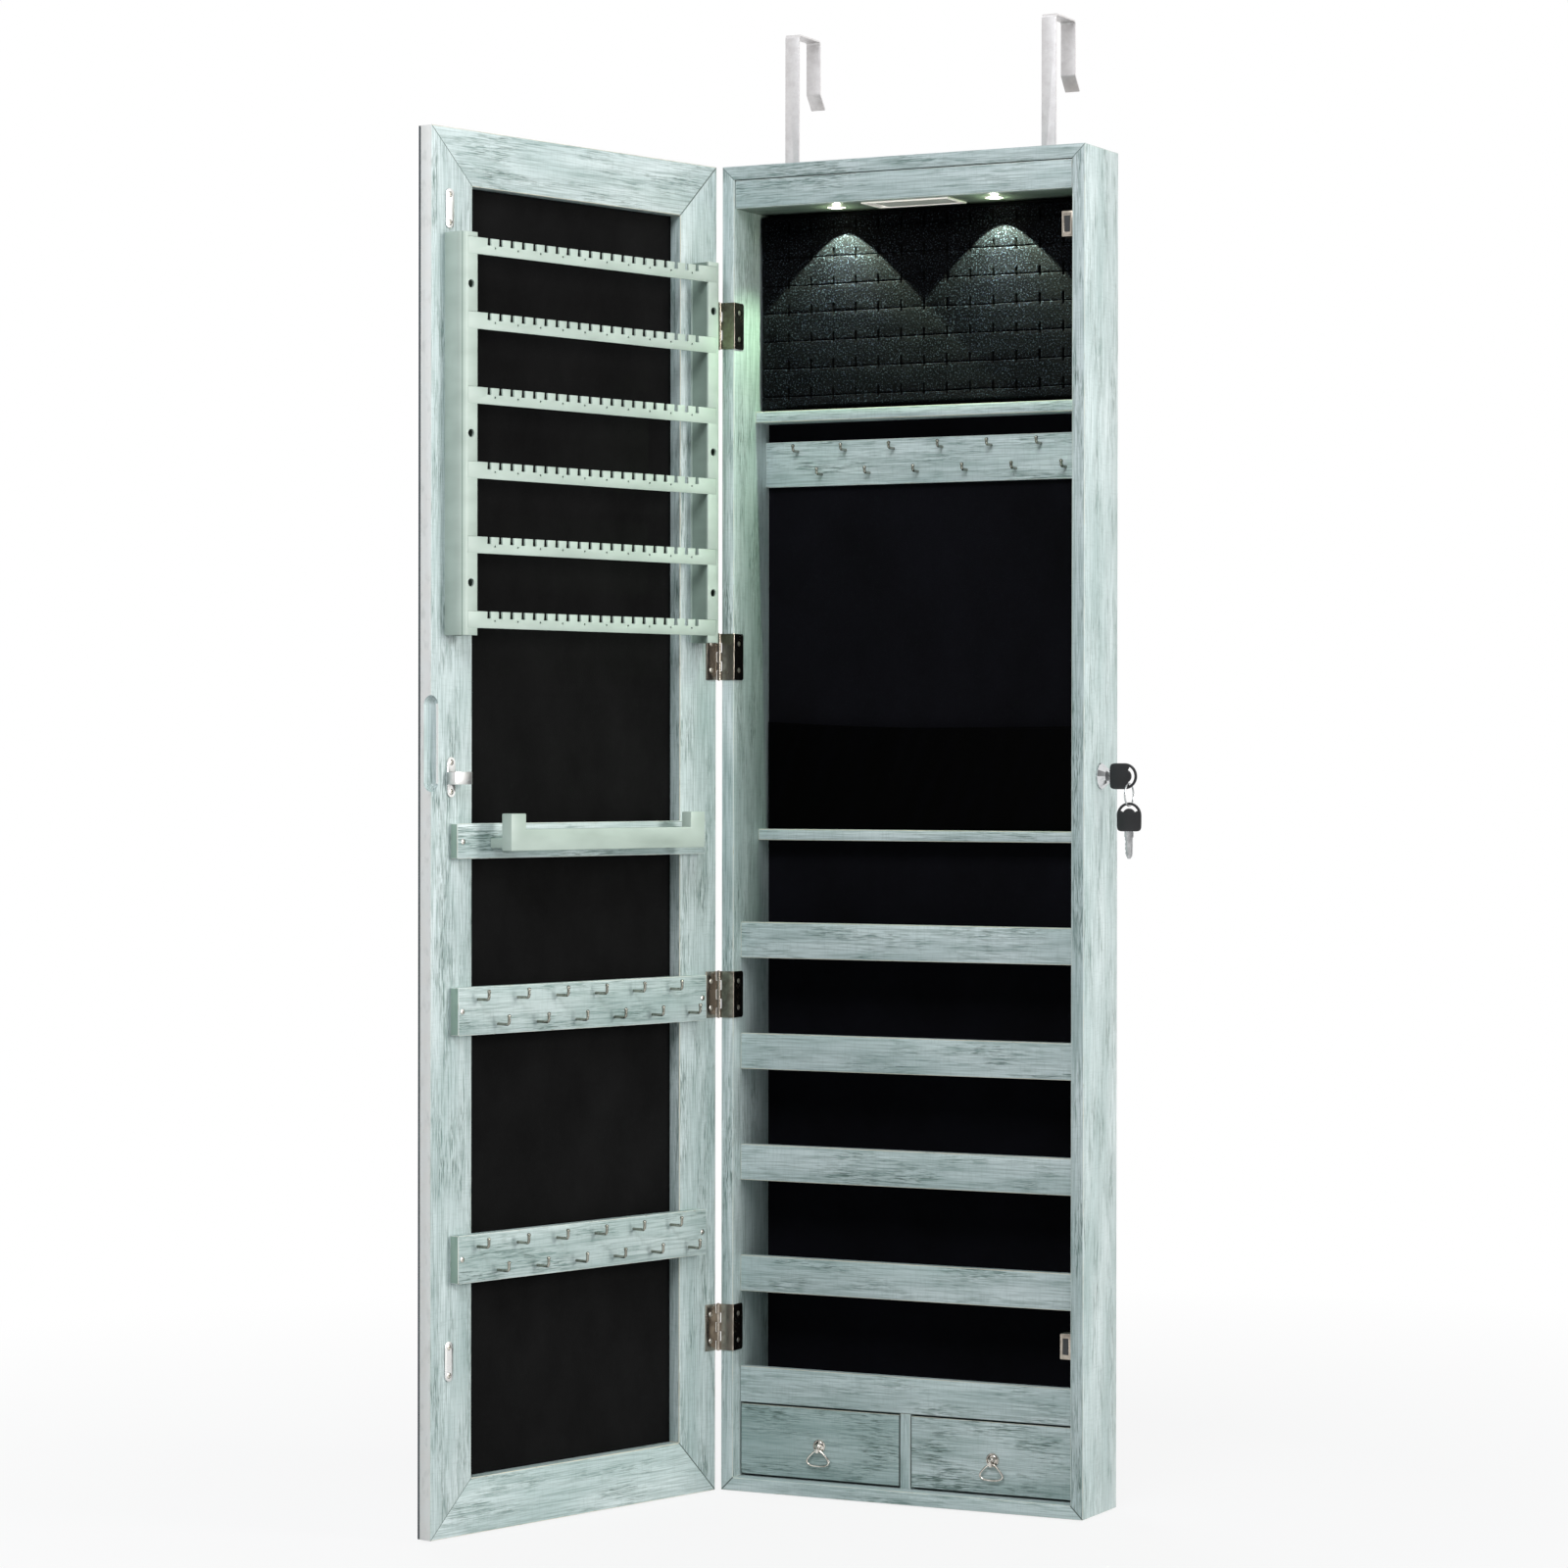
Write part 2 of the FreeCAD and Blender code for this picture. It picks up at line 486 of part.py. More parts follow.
def pocket_cloth():
    """A shallow cloth pouch on the middle shelf, bowed forward, with a top edge that sags."""
    wide = num(f"{inner} - SoftGap")
    back = num(f"{lining} - SoftGap")
    bow = num("PocketDeep")
    sideBow = num("PocketSideDeep")
    thick = num("ClothThick")
    low = num("MiddleShelfLow + ShelfThick")
    tall = num("PocketTall")

    def pouch(inset, foot):
        left = Vector(-wide + inset, back, foot)
        right = Vector(wide - inset, back, foot)
        leftFront = Vector(-wide + inset, back - sideBow + inset, foot)
        rightFront = Vector(wide - inset, back - sideBow + inset, foot)
        peak = Vector(0, back - bow + inset, foot)
        ring = Part.Wire([Part.LineSegment(left, leftFront).toShape(),
                          Part.Arc(leftFront, peak, rightFront).toShape(),
                          Part.LineSegment(rightFront, right).toShape(),
                          Part.LineSegment(right, left).toShape()])
        return Part.Face(ring).extrude(Vector(0, 0, tall + 20))

    shell = pouch(0, low).cut(pouch(thick, low + thick))
    sag = num("PocketSag")
    ends = [Vector(-wide - 1, 10, low + tall), Vector(wide + 1, 10, low + tall - num("PocketRightDrop"))]
    edge = Part.Arc(ends[0], Vector(0, 10, low + tall - sag), ends[1]).toShape()
    lid = [ends[1], Vector(wide + 1, 10, low + tall + 40), Vector(-wide - 1, 10, low + tall + 40), ends[0]]
    rim = Part.Wire([edge] + [Part.LineSegment(one, two).toShape() for one, two in zip(lid, lid[1:])])
    return shell.cut(Part.Face(rim).extrude(Vector(0, -60, 0)))


node("velvet_pocket", feature(pocket_cloth()))


# Guard rails with a floor behind each, the drawer rail and the divider.

def rail(step):
    low = f"(RailLow + {step}*RailPitch)"
    return box(across, (railFront, railBack), (low, f"{low} + RailTall"))


def bay_floor(step):
    low = f"(RailLow + {step}*RailPitch)"
    return box(across, (railBack, lining), (low, f"{low} + FloorThick"))


node("guard_rails", group(*[rail(step) for step in (1, 2, 3, 4)]))
node("drawer_rail", rail(0))
node("bay_floors", group(*[bay_floor(step) for step in range(5)]))
node("drawer_divider", box(("-DividerThick/2", "DividerThick/2"), (railFront, lining),
                           ("BoardThick", "RailLow")))


# Drawers, each with a rosette and a ring pull.

def pull_ring(middle):
    """A rounded triangle of wire that hangs from its narrow top: three arcs joined by their tangents."""
    low = num("PullRound")
    high = num("PullTopRound")
    spread = num("PullWide/2 - PullRound")
    drop = num("PullTall") - low
    arcs = [(Vector(0, 0, -high), high), (Vector(-spread, 0, -drop), low), (Vector(spread, 0, -drop), low)]
    runs = []
    for (one, first), (two, second) in zip(arcs, arcs[1:] + arcs[:1]):
        gap = two - one
        heading = math.atan2(gap.z, gap.x)
        lean = math.acos((first - second) / gap.Length)
        outward = Vector(math.cos(heading - lean), 0, math.sin(heading - lean))
        runs.append((one + outward * first, two + outward * second))
    edges = [Part.LineSegment(start, stop).toShape() for start, stop in runs]
    for index, (centre, radius) in enumerate(arcs):
        start = runs[index - 1][1]
        stop = runs[index][0]
        peak = centre + ((start + stop) / 2 - centre).normalize() * radius
        edges.append(Part.Arc(start, peak, stop).toShape())
    path = Part.Wire(Part.__sortEdges__(edges))
    section = Part.Wire([Part.Circle(Vector(0, 0, -drop - low), Vector(1, 0, 0), num("PullWire")).toShape()])
    ring = path.makePipeShell([section], True, False)
    ring.translate(Vector(num(middle), num(f"{railFront} - PullAxisOut"), num("PullHigh - PullAxisDrop")))
    return feature(ring)


def drawer(word, sign):
    near = "(DividerThick/2 + DrawerGap)"
    far = f"({inner} - DrawerGap)"
    wide = sorted([f"{sign}*{near}", f"{sign}*{far}"], key=num)
    middle = f"({sign}*({near} + {far})/2)"
    face = box(wide, (railFront, f"{railFront} + DrawerFrontThick"),
               ("BoardThick + DrawerLift", "RailLow - DrawerTopGap"))
    node(f"{word}_drawer_front", face)
    trayLow = "(BoardThick + SlideGap)"
    shell = box(wide, (f"{railFront} + DrawerFrontThick", f"{lining} - DrawerBackGap"),
                (trayLow, f"{trayLow} + DrawerTrayTall"))
    inside = box((f"{wide[0]} + TrayWallThick", f"{wide[1]} - TrayWallThick"),
                 (f"{railFront} + DrawerFrontThick + TrayWallThick",
                  f"{lining} - DrawerBackGap - TrayWallThick"),
                 (f"{trayLow} + TrayWallThick", f"{trayLow} + DrawerTrayTall + 1"))
    node(f"{word}_drawer_tray", cut(shell, inside))
    rosette = cone("RosetteFace", "RosetteRadius", "Y", f"{railFront} - RosetteThick", railFront,
                   (middle, "PullHigh"))
    lug = box((f"{middle} - LugWide/2", f"{middle} + LugWide/2"),
              (f"{railFront} - LugLong", f"{railFront} - RosetteThick/2"),
              ("PullHigh - PullAxisDrop - LugTall/2", "PullHigh - PullAxisDrop + LugTall/2"))
    eye = rod("PullHole", "X", f"{middle} - LugWide", f"{middle} + LugWide",
              (f"{railFront} - PullAxisOut", "PullHigh - PullAxisDrop"))
    node(f"{word}_pull_rosette", cut(fuse(rosette, lug), eye))
    node(f"{word}_pull_ring", pull_ring(middle))


drawer("left", -1)
drawer("right", 1)


# Magnetic catches on the lock side, and the steel plates that they hold.

catchBodies = []
magnets = []
for level in ("StrikeHigh", "StrikeLow"):
    tall = (f"{level} - CatchTall/2", f"{level} + CatchTall/2")
    deep = ("-CabinetDepth + CatchSetback", "-CabinetDepth + CatchSetback + CatchDeep")
    shell = box((f"{inner} - CatchWide", inner), deep, tall)
    middle = f"({inner} - CatchWide/2)"
    mouth = box((f"{middle} - MagnetWide/2 - MagnetGap/2", f"{middle} + MagnetWide/2 + MagnetGap/2"),
                (f"{deep[0]} - 1", f"{deep[0]} + MagnetDeep"),
                (f"{level} - MagnetTall/2 - MagnetGap/2", f"{level} + MagnetTall/2 + MagnetGap/2"))
    catchBodies.append(cut(shell, mouth))
    magnets.append(box((f"{middle} - MagnetWide/2", f"{middle} + MagnetWide/2"),
                       (f"{deep[0]} + MagnetGap", f"{deep[0]} + MagnetDeep"),
                       (f"{level} - MagnetTall/2", f"{level} + MagnetTall/2")))
node("catch_housings", group(*catchBodies))
node("catch_magnets", group(*magnets))


# Hinges: knuckles one, three and five belong to the cabinet's leaf, two and four to the door's.

segment = "(HingeLong/5)"


def knuckles(counts, stripX, stripY):
    parts = []
    for count in counts:
        low = f"(-HingeLong/2 + {count}*{segment} + {'KnuckleGap/2' if count else '0'})"
        high = f"(-HingeLong/2 + {count + 1}*{segment} - {'KnuckleGap/2' if count < 4 else '0'})"
        parts.append(rod("KnuckleRadius", "Z", low, high, (axisX, axisY)))
        parts.append(box(stripX, stripY, (low, high)))
    return parts


leafZ = ("-HingeLong/2", "HingeLong/2")
screwLevels = ("HingeScrewApart/2", "-HingeScrewApart/2")
pinBore = rod("PinRadius + PinGap", "Z", "-HingeLong/2 - 1", "HingeLong/2 + 1", (axisX, axisY))
leafEdge = f"(-{side} + LeafInset)"
edgeY = (f"{front} - LeafThick", front)
frontLeaf = box((leafEdge, f"-{inner} + LeafThick"), edgeY, leafZ)
innerLeaf = box((f"-{inner}", f"-{inner} + LeafThick"), (edgeY[0], f"{front} + InnerLeafDeep"), leafZ)
frameLeaf = fuse(frontLeaf, innerLeaf, *knuckles((0, 2, 4), (axisX, leafEdge), edgeY))
leafHoles = holes(headHole, "X", f"-{inner} - 1", f"-{inner} + LeafThick + 1",
                  [("-CabinetDepth + InnerLeafDeep/2", level) for level in screwLevels])
frameLeaf = cut(frameLeaf, pinBore, *leafHoles)
hingePlaces = [Placement(Vector(0, 0, num(level)), Rotation()) for level in hingeHeights]
node("hinge_frame_leaves", copies(frameLeaf, hingePlaces))

pin = rod("PinRadius", "Z", "-HingeLong/2 - PinProud", "HingeLong/2 + PinProud", (axisX, axisY))
node("hinge_pins", copies(pin, hingePlaces))

doorLeafY = (off("0"), off("LeafThick"))
doorLeafX = f"(-{side} + LeafInset + DoorLeafWide/2)"
doorPlate = box((leafEdge, f"{leafEdge} + DoorLeafWide"), doorLeafY, leafZ)
doorLeaf = fuse(doorPlate, *knuckles((1, 3), (axisX, leafEdge), doorLeafY))
doorLeafHoles = holes(headHole, "Y", off("-1"), off("LeafThick + 1"),
                      [(doorLeafX, level) for level in screwLevels])
doorLeaf = cut(doorLeaf, pinBore, *doorLeafHoles)
on_door("hinge_door_leaves", copies(doorLeaf, hingePlaces))


# Door: four mitred frame boards on a full mirror, with a velvet panel in the opening.

doorSpots = {
    "hinge": [(doorLeafX, f"{level} {sign} HingeScrewApart/2") for level in hingeHeights for sign in "+-"],
    "post": [("EarringSide + PostScrewIn - CabinetWidth/2",
              f"EarringLow + PostScrewLow + {step}*PostScrewPitch")
             for step in range(3)],
    "strike": [(f"{side} - StrikeSide", f"{level} {sign} StrikeScrewApart/2")
               for level in ("StrikeHigh", "StrikeLow") for sign in "+-"],
    "latch": [(f"{side} - LatchSide - LatchFoot/2", f"LockHigh - LatchDrop {sign} LatchScrewApart/2")
              for sign in "+-"],
    "bracelet": [("BoardSide + BraceletScrewIn - CabinetWidth/2", "BraceletLow + BraceletScrewHigh")],
    "board": [("BoardSide + BoardScrewIn - CabinetWidth/2", f"{low} + DoorBoardTall/2")
              for low in ("UpperBoardLow", "LowerBoardLow")],
}


def mirrored(spots):
    return [(f"-({over})", level) for over, level in spots]


shared = doorSpots["post"] + doorSpots["bracelet"] + doorSpots["board"]
hingeStileSpots = doorSpots["hinge"] + shared
freeStileSpots = doorSpots["strike"] + doorSpots["latch"] + mirrored(shared)
stileHole = (off("-ScrewLong - 1"), off("1"))


def stile(sign, spots):
    outer = f"{sign}*CabinetWidth/2"
    edge = f"{sign}*(CabinetWidth/2 - FrameWide)"
    corners = [(outer, "0"), (outer, "CabinetHeight"), (edge, "CabinetHeight - FrameWide"),
               (edge, "FrameWide")]
    board = plate("XZ_Plane", corners, off("-DoorThick"), off("0"))
    return cut(board, *holes(shankHole, "Y", *stileHole, spots))


on_door("hinge_stile", stile(-1, hingeStileSpots))

scoopEdge = (side, off("0"))
scoopLow = "(ScoopLow + ScoopRadius)"
scoopHigh = "(ScoopLow + ScoopLong - ScoopRadius)"
scoop = fuse(rod("ScoopRadius", "Z", scoopLow, scoopHigh, scoopEdge),
             ball("ScoopRadius", (*scoopEdge, scoopLow)), ball("ScoopRadius", (*scoopEdge, scoopHigh)))
on_door("free_stile", cut(stile(1, freeStileSpots), scoop))

openingX = "(CabinetWidth/2 - FrameWide)"
topRail = [(f"-{side}", "CabinetHeight"), (side, "CabinetHeight"), (openingX, "CabinetHeight - FrameWide"),
           (f"-{openingX}", "CabinetHeight - FrameWide")]
on_door("door_top_rail", plate("XZ_Plane", topRail, off("-DoorThick"), off("0")))
bottomRail = [(f"-{side}", "0"), (side, "0"), (openingX, "FrameWide"), (f"-{openingX}", "FrameWide")]
on_door("door_bottom_rail", plate("XZ_Plane", bottomRail, off("-DoorThick"), off("0")))

on_door("velvet_panel", box((f"-{openingX} + CardGap", f"{openingX} - CardGap"),
                            (off("-DoorThick"), off("-DoorThick + CardThick")),
                            ("FrameWide + CardGap", "CabinetHeight - FrameWide - CardGap")))
on_door("mirror_glass", box((f"-{side}", side), (off("-DoorThick - MirrorThick"), off("-DoorThick")),
                            ("0", "CabinetHeight")))

strikes = []
for level in ("StrikeHigh", "StrikeLow"):
    thick = (off("0"), off("StrikeThick"))
    ends = [f"{level} {sign} (StrikeTall - StrikeWide)/2" for sign in "-+"]
    middle = box((f"{side} - StrikeSide - StrikeWide/2", f"{side} - StrikeSide + StrikeWide/2"), thick, ends)
    rounds = [rod("StrikeWide/2", "Y", *thick, (f"{side} - StrikeSide", end)) for end in ends]
    strikePlate = fuse(middle, *rounds)
    spots = [spot for spot in doorSpots["strike"] if spot[1].startswith(level)]
    strikes.append(cut(strikePlate, *holes(headHole, "Y", off("-1"), off("StrikeThick + 1"), spots)))
on_door("strike_plates", *strikes)

latchX = f"({side} - LatchSide)"
latchMiddle = "(LockHigh - LatchDrop)"
flangeZ = ("LockHigh - FlangeDrop", "LockHigh - FlangeDrop + FlangeTall")
footThick = (off("0"), off("LatchThick"))
footEnds = [f"{latchMiddle} {sign} (StrikeTall - LatchFoot)/2" for sign in "-+"]
footMiddle = box((f"{latchX} - LatchFoot", latchX), footThick, footEnds)
foot = fuse(footMiddle, *[rod("LatchFoot/2", "Y", *footThick, (f"{latchX} - LatchFoot/2", end))
                          for end in footEnds])
leg = box((f"{latchX} - LatchThick", latchX), (off("0"), off("LatchOff")), flangeZ)
flange = box((f"{latchX} - FlangeLong", latchX), (off("LatchOff - LatchThick"), off("LatchOff")), flangeZ)
footHoles = holes(headHole, "Y", off("-1"), off("LatchThick + 0.6"), doorSpots["latch"])
on_door("latch_bracket", cut(fuse(foot, leg, flange), *footHoles))


# Earring holder: two channel posts, notched at the front for six slotted bars that lie flush in them.

postEdge = "(EarringSide - CabinetWidth/2)"
postFar = f"({postEdge} + PostWide)"
postWeb = f"({postEdge} + PostThick)"
postPlan = [(postEdge, off("0")), (postFar, off("0")), (postFar, off("PostThick")),
            (postWeb, off("PostThick")), (postWeb, off("EarringOff - PostThick")),
            (postFar, off("EarringOff - PostThick")), (postFar, off("EarringOff")),
            (postEdge, off("EarringOff"))]
post = plate("XY_Plane", postPlan, "EarringLow", "EarringLow + EarringTall")
rounded(post, "PostRound", "xy", [(postEdge, off("EarringOff"))])
rounded(post, "PostRound - PostThick", "xy", [(postWeb, off("EarringOff - PostThick"))])
access = holes("AccessHole", "Y", off("PostThick + 1"), off("EarringOff + 1"), doorSpots["post"])
postHoles = holes(headHole, "Y", off("-1"), off("PostThick + 0.5"), doorSpots["post"])
barTops = [f"(EarringBarTop - {step}*EarringBarPitch)" for step in range(6)]
notchY = (off("EarringOff - PostThick - 0.5"), off("EarringOff + 1"))
notches = [box((f"{postEdge} + PostRound", f"{postFar} + 1"), notchY,
               (f"{top} - EarringBarTall", f"{top} + BarGap")) for top in barTops]
nearPost = cut(post, *access, *postHoles, *notches)
farPost = doc.addObject("Part::Mirroring", "FarPost")
farPost.Source = nearPost
farPost.Normal = Vector(1, 0, 0)
on_door("earring_posts", nearPost, farPost)

barReach = "(CabinetWidth/2 - EarringSide - PostRound - BarGap)"
barY = (off("EarringOff - EarringBarThick"), off("EarringOff"))
bar = box((f"-{barReach}", barReach), barY, ("-EarringBarTall", "0"))
slotCount = int(num("SlotCount"))
slotPitch = "(CabinetWidth - SlotMargin)/(SlotCount - 1)"
cutY = (f"{barY[0]} - 1", f"{barY[1]} + 1")
slots = []
for count in range(slotCount):
    middle = f"({count} - {(slotCount - 1) / 2})*{slotPitch}"
    slots.append(box((f"{middle} - SlotWide/2", f"{middle} + SlotWide/2"), cutY, ("-SlotDeep", "1")))
for pair in range(slotCount // 2):
    middle = f"({2 * pair + 0.5} - {(slotCount - 1) / 2})*{slotPitch}"
    slots.append(rod("PinHole", "Y", *cutY, (middle, "-PinHoleDrop")))
barPlaces = [Placement(Vector(0, 0, num(top)), Rotation()) for top in barTops]
on_door("earring_bars", copies(cut(bar, *slots), barPlaces))


# Bracelet holder and the two hook boards.

def door_board(low, tall, thick, spots):
    board = box(("BoardSide - CabinetWidth/2", "CabinetWidth/2 - BoardSide"), (off("0"), off(thick)),
                (low, f"{low} + {tall}"))
    both = spots + mirrored(spots)
    return cut(board, *holes(headHole, "Y", off(f"{thick} - LeafThick"), off(f"{thick} + 1"), both),
               *holes(shankHole, "Y", off("-1"), off(f"{thick} - LeafThick - 0.01"), both))


on_door("bracelet_base", door_board("BraceletLow", "BraceletTall", "BraceletThick", doorSpots["bracelet"]))

barEnd = "(CabinetWidth/2 - BarSide)"
barOffY = (off("BarOff"), off("BarOff + BarThick"))
barRail = box((f"-{barEnd}", barEnd), barOffY, ("BarLow", "BarLow + BarTall"))
uprights = []
for sign in (-1, 1):
    wide = sorted([f"{sign}*{barEnd}", f"{sign}*({barEnd} - UprightWide)"], key=num)
    uprights.append(box(wide, barOffY, ("BarLow", "BarLow + UprightTall")))
    armWide = sorted([f"{sign}*({barEnd} - ArmInset)", f"{sign}*({barEnd} - ArmInset - ArmWide)"], key=num)
    uprights.append(box(armWide, (off("BraceletThick"), off("BarOff + BarThick/2")),
                        ("BarLow + ArmLift", "BarLow + ArmLift + ArmTall")))
on_door("bracelet_bar", fuse(barRail, *uprights))

hookBoards = [door_board(low, "DoorBoardTall", "DoorBoardThick", [spot])
              for low, spot in zip(("UpperBoardLow", "LowerBoardLow"), doorSpots["board"])]
on_door("door_hook_boards", *hookBoards)

doorHook = hook("DoorHookReach", "DoorHookRise")
doorHookPlaces = []
for low in ("UpperBoardLow", "LowerBoardLow"):
    rows = hook_rows(num(off("DoorBoardThick")), num(low), num("(CabinetWidth - DoorHookMargin)/6"),
                     num("DoorRowHigh"), num("DoorRowLow"))
    doorHookPlaces += [Placement(Vector(-spot.Base.x, spot.Base.y, spot.Base.z),
                                 Rotation(Vector(0, 0, 1), 180))
                       for spot in rows]
on_door("door_hooks", copies(doorHook, doorHookPlaces))


# All the screws.

shortScrew = screw("ScrewLong")
strapScrew = screw("StrapScrewLong")
boardScrew = screw("DoorBoardThick - LeafThick + BoardScrewBite")
braceletScrew = screw("BraceletThick - LeafThick + BoardScrewBite")


def screw_places(spots, seat):
    return [Placement(Vector(num(over), num(seat), num(level)), Rotation()) for over, level in spots]


inLeaf = [Placement(Vector(num(f"-{inner}"), num(deep), num(level)), turnLeft) for deep, level in sideSpots]
inStrap = screw_places(strapSpots + soffitSpots, "-BackRecess")
node("cabinet_screws", group(copies(shortScrew, inLeaf), copies(strapScrew, inStrap)))

postSpots = doorSpots["post"] + mirrored(doorSpots["post"])
thin = doorSpots["hinge"] + doorSpots["strike"] + doorSpots["latch"] + postSpots
inBoard = doorSpots["board"] + mirrored(doorSpots["board"])
inBracelet = doorSpots["bracelet"] + mirrored(doorSpots["bracelet"])
on_door("door_screws", copies(shortScrew, screw_places(thin, off("0"))),
        copies(boardScrew, screw_places(inBoard, off("DoorBoardThick - LeafThick"))),
        copies(braceletScrew, screw_places(inBracelet, off("BraceletThick - LeafThick"))))


# Cam lock in the right side board, its key, the split ring and the spare key.

lockAt = (lockY, "LockHigh")
shaft = rod("BarrelRadius", "X", f"{inner} - BarrelInside", side, lockAt)
bezel = cone("BezelRadius", "BezelFace", "X", side, f"{side} + BezelLong", lockAt)
plugBore = rod("PlugRadius + PlugGap", "X", f"{inner} - BarrelInside - 1", f"{side} + BezelLong + 1", lockAt)
node("lock_barrel", cut(fuse(shaft, bezel), plugBore))

hexagon = []
for corner in range(6):
    angle = math.radians(60 * corner)
    spoke = f"NutAcross/{2 * math.cos(math.pi / 6):.6f}"
    hexagon.append((f"{lockY} + {math.cos(angle):.6f}*{spoke}", f"LockHigh + {math.sin(angle):.6f}*{spoke}"))
nut = plate("YZ_Plane", hexagon, f"{inner} - NutThick", inner)
nutHole = rod("BarrelRadius + HoleGap", "X", f"{inner} - NutThick - 1", f"{inner} + 1", lockAt)
node("lock_nut", cut(nut, nutHole))

camFar = f"({inner} - BarrelInside - CamGap)"
camNear = f"({camFar} - CamThick)"
plug = rod("PlugRadius", "X", f"{inner} - BarrelInside - PlugInside", f"{side} + BezelLong - PlugSink",
           lockAt)
tail = rod("TailRadius", "X", f"{camNear} - TailPast", f"{inner} - BarrelInside", lockAt)
keyFoot = f"({side} + KeyReach - KeyStraight - KeyLong)"
keyway = box((f"{keyFoot} - 1", f"{side} + BezelLong"),
             (f"{lockY} - KeyThick/2 - KeyGap", f"{lockY} + KeyThick/2 + KeyGap"),
             ("LockHigh - KeyNeck - KeyGap", "LockHigh + KeyNeck + KeyGap"))
node("lock_plug", cut(fuse(plug, tail), keyway))

camPlan = [("0", "0"), ("CamShoulder", "CamRise"), ("CamArmFar", "-CamElbow"), ("CamArmFar", "-CamReach"),
           ("CamArmFar - CamHook", "-CamReach"), ("CamArmFar - CamHook", "-CamReach + CamTip"),
           ("CamArmNear", "-CamReach + CamTip"), ("CamArmNear", "-CamShoulder"), ("0", "-CamShoulder")]
camArm = plate("YZ_Plane", [(f"{lockY} + {over}", f"LockHigh + {up}") for over, up in camPlan],
               camNear, camFar)
camHub = rod("CamHub", "X", camNear, camFar, lockAt)
camHole = rod("TailRadius + PlugGap", "X", f"{camNear} - 1", f"{camFar} + 1", lockAt)
node("lock_cam", cut(fuse(camArm, camHub), camHole))


def key():
    """A flat key in the plane y 0: round head about the origin, blade along -X, crescent slot at +X."""
    flat = ("-KeyThick/2", "KeyThick/2")
    round_head = rod("KeyRound", "Y", *flat, ("0", "0"))
    square_head = box(("-KeyStraight", "0"), flat, ("-KeyRound", "KeyRound"))
    blade = box(("-KeyStraight - KeyLong", "-KeyStraight"), flat, ("-KeyNeck", "KeyNeck"))
    start = Rotation(Vector(0, 0, 1), -num("KeySlotHalf"))
    crescent = []
    for radius in ("KeySlotOut", "KeySlotIn"):
        sector = rod(radius, "Y", "-KeyThick", "KeyThick", ("0", "0"))
        sector.Placement = Placement(Vector(0, -num("KeyThick"), 0), turned["Y"].multiply(start))
        sector.Angle = 2 * num("KeySlotHalf") if radius == "KeySlotOut" else 360
        crescent.append(sector)
    return cut(fuse(round_head, square_head, blade), cut(*crescent))


flatKey = key()
headX = num(f"{side} + KeyReach")
hang = math.radians(num("KeyHang"))
ringSeat = num("KeySlotOut - RingPlay - RingWire")
ringX = headX + ringSeat * math.cos(hang)
ringTop = num("LockHigh") - ringSeat * math.sin(hang)
ringLow = ringTop - 2 * num("RingRadius")
node("door_key", copies(flatKey, [Placement(Vector(headX, num(lockY), num("LockHigh")), Rotation())]))

ring = doc.addObject("Part::Torus", "Ring")
ring.setExpression("Radius1", bound("RingRadius"))
ring.setExpression("Radius2", bound("RingWire"))
ring.Placement = Placement(Vector(ringX, num(lockY), ringTop - num("RingRadius")), turned["X"])
node("key_ring", ring)

spareHigh = ringLow + num("RingWire + KeyGap - KeySlotOut")
upright = Rotation(Vector(0, 1, 0), -90)
node("spare_key", copies(flatKey, [Placement(Vector(ringX, num(lockY), spareHigh), upright)]))


# Over-door straps: up the recessed back, over a door's top edge and down behind it.

strapFront = "(-BackRecess)"
strapBack = "(-BackRecess + StrapThick)"
strapTop = "(CabinetHeight + StrapHigh)"
farLeg = f"({strapBack} + DoorSlot)"
legFoot = f"({strapTop} - StrapDrop)"
outerLeg = f"({farLeg} + StrapThick)"
flareLong = "sqrt(StrapFlareOut^2 + StrapFlareDrop^2)"
flareFoot = (f"{outerLeg} + StrapFlareOut", f"{legFoot} - StrapFlareDrop")
innerFoot = (f"{flareFoot[0]} - StrapThick*StrapFlareDrop/{flareLong}",
             f"{flareFoot[1]} - StrapThick*StrapFlareOut/{flareLong}")
innerBend = (farLeg, f"{legFoot} - StrapThick*({flareLong} - StrapFlareDrop)/StrapFlareOut")
strapCorners = [(strapFront, strapTop), (outerLeg, strapTop)]
strapInsides = [(farLeg, f"{strapTop} - StrapThick"), (strapBack, f"{strapTop} - StrapThick")]
strapPlan = [(strapFront, "CabinetHeight - StrapBelow"), *strapCorners, (outerLeg, legFoot), flareFoot,
             innerFoot, innerBend, *strapInsides, (strapBack, "CabinetHeight - StrapBelow")]


def strap(middle, spots):
    bent = plate("YZ_Plane", strapPlan, f"{middle} - StrapWide/2", f"{middle} + StrapWide/2")
    rounded(bent, "StrapBend + StrapThick", "yz", strapCorners + [innerBend])
    rounded(bent, "StrapBend", "yz", strapInsides + [(outerLeg, legFoot)])
    return cut(bent, *holes(headHole, "Y", f"{strapFront} - 1", f"{strapBack} + 1", spots))


straps = [strap(middle, [high, low]) for middle, high, low in
          zip((strapLeft, strapRight), strapSpots, soffitSpots)]
node("over_door_straps", group(*straps))


# Every object must have computed, and every sub-part must be valid solids, before anything is written.

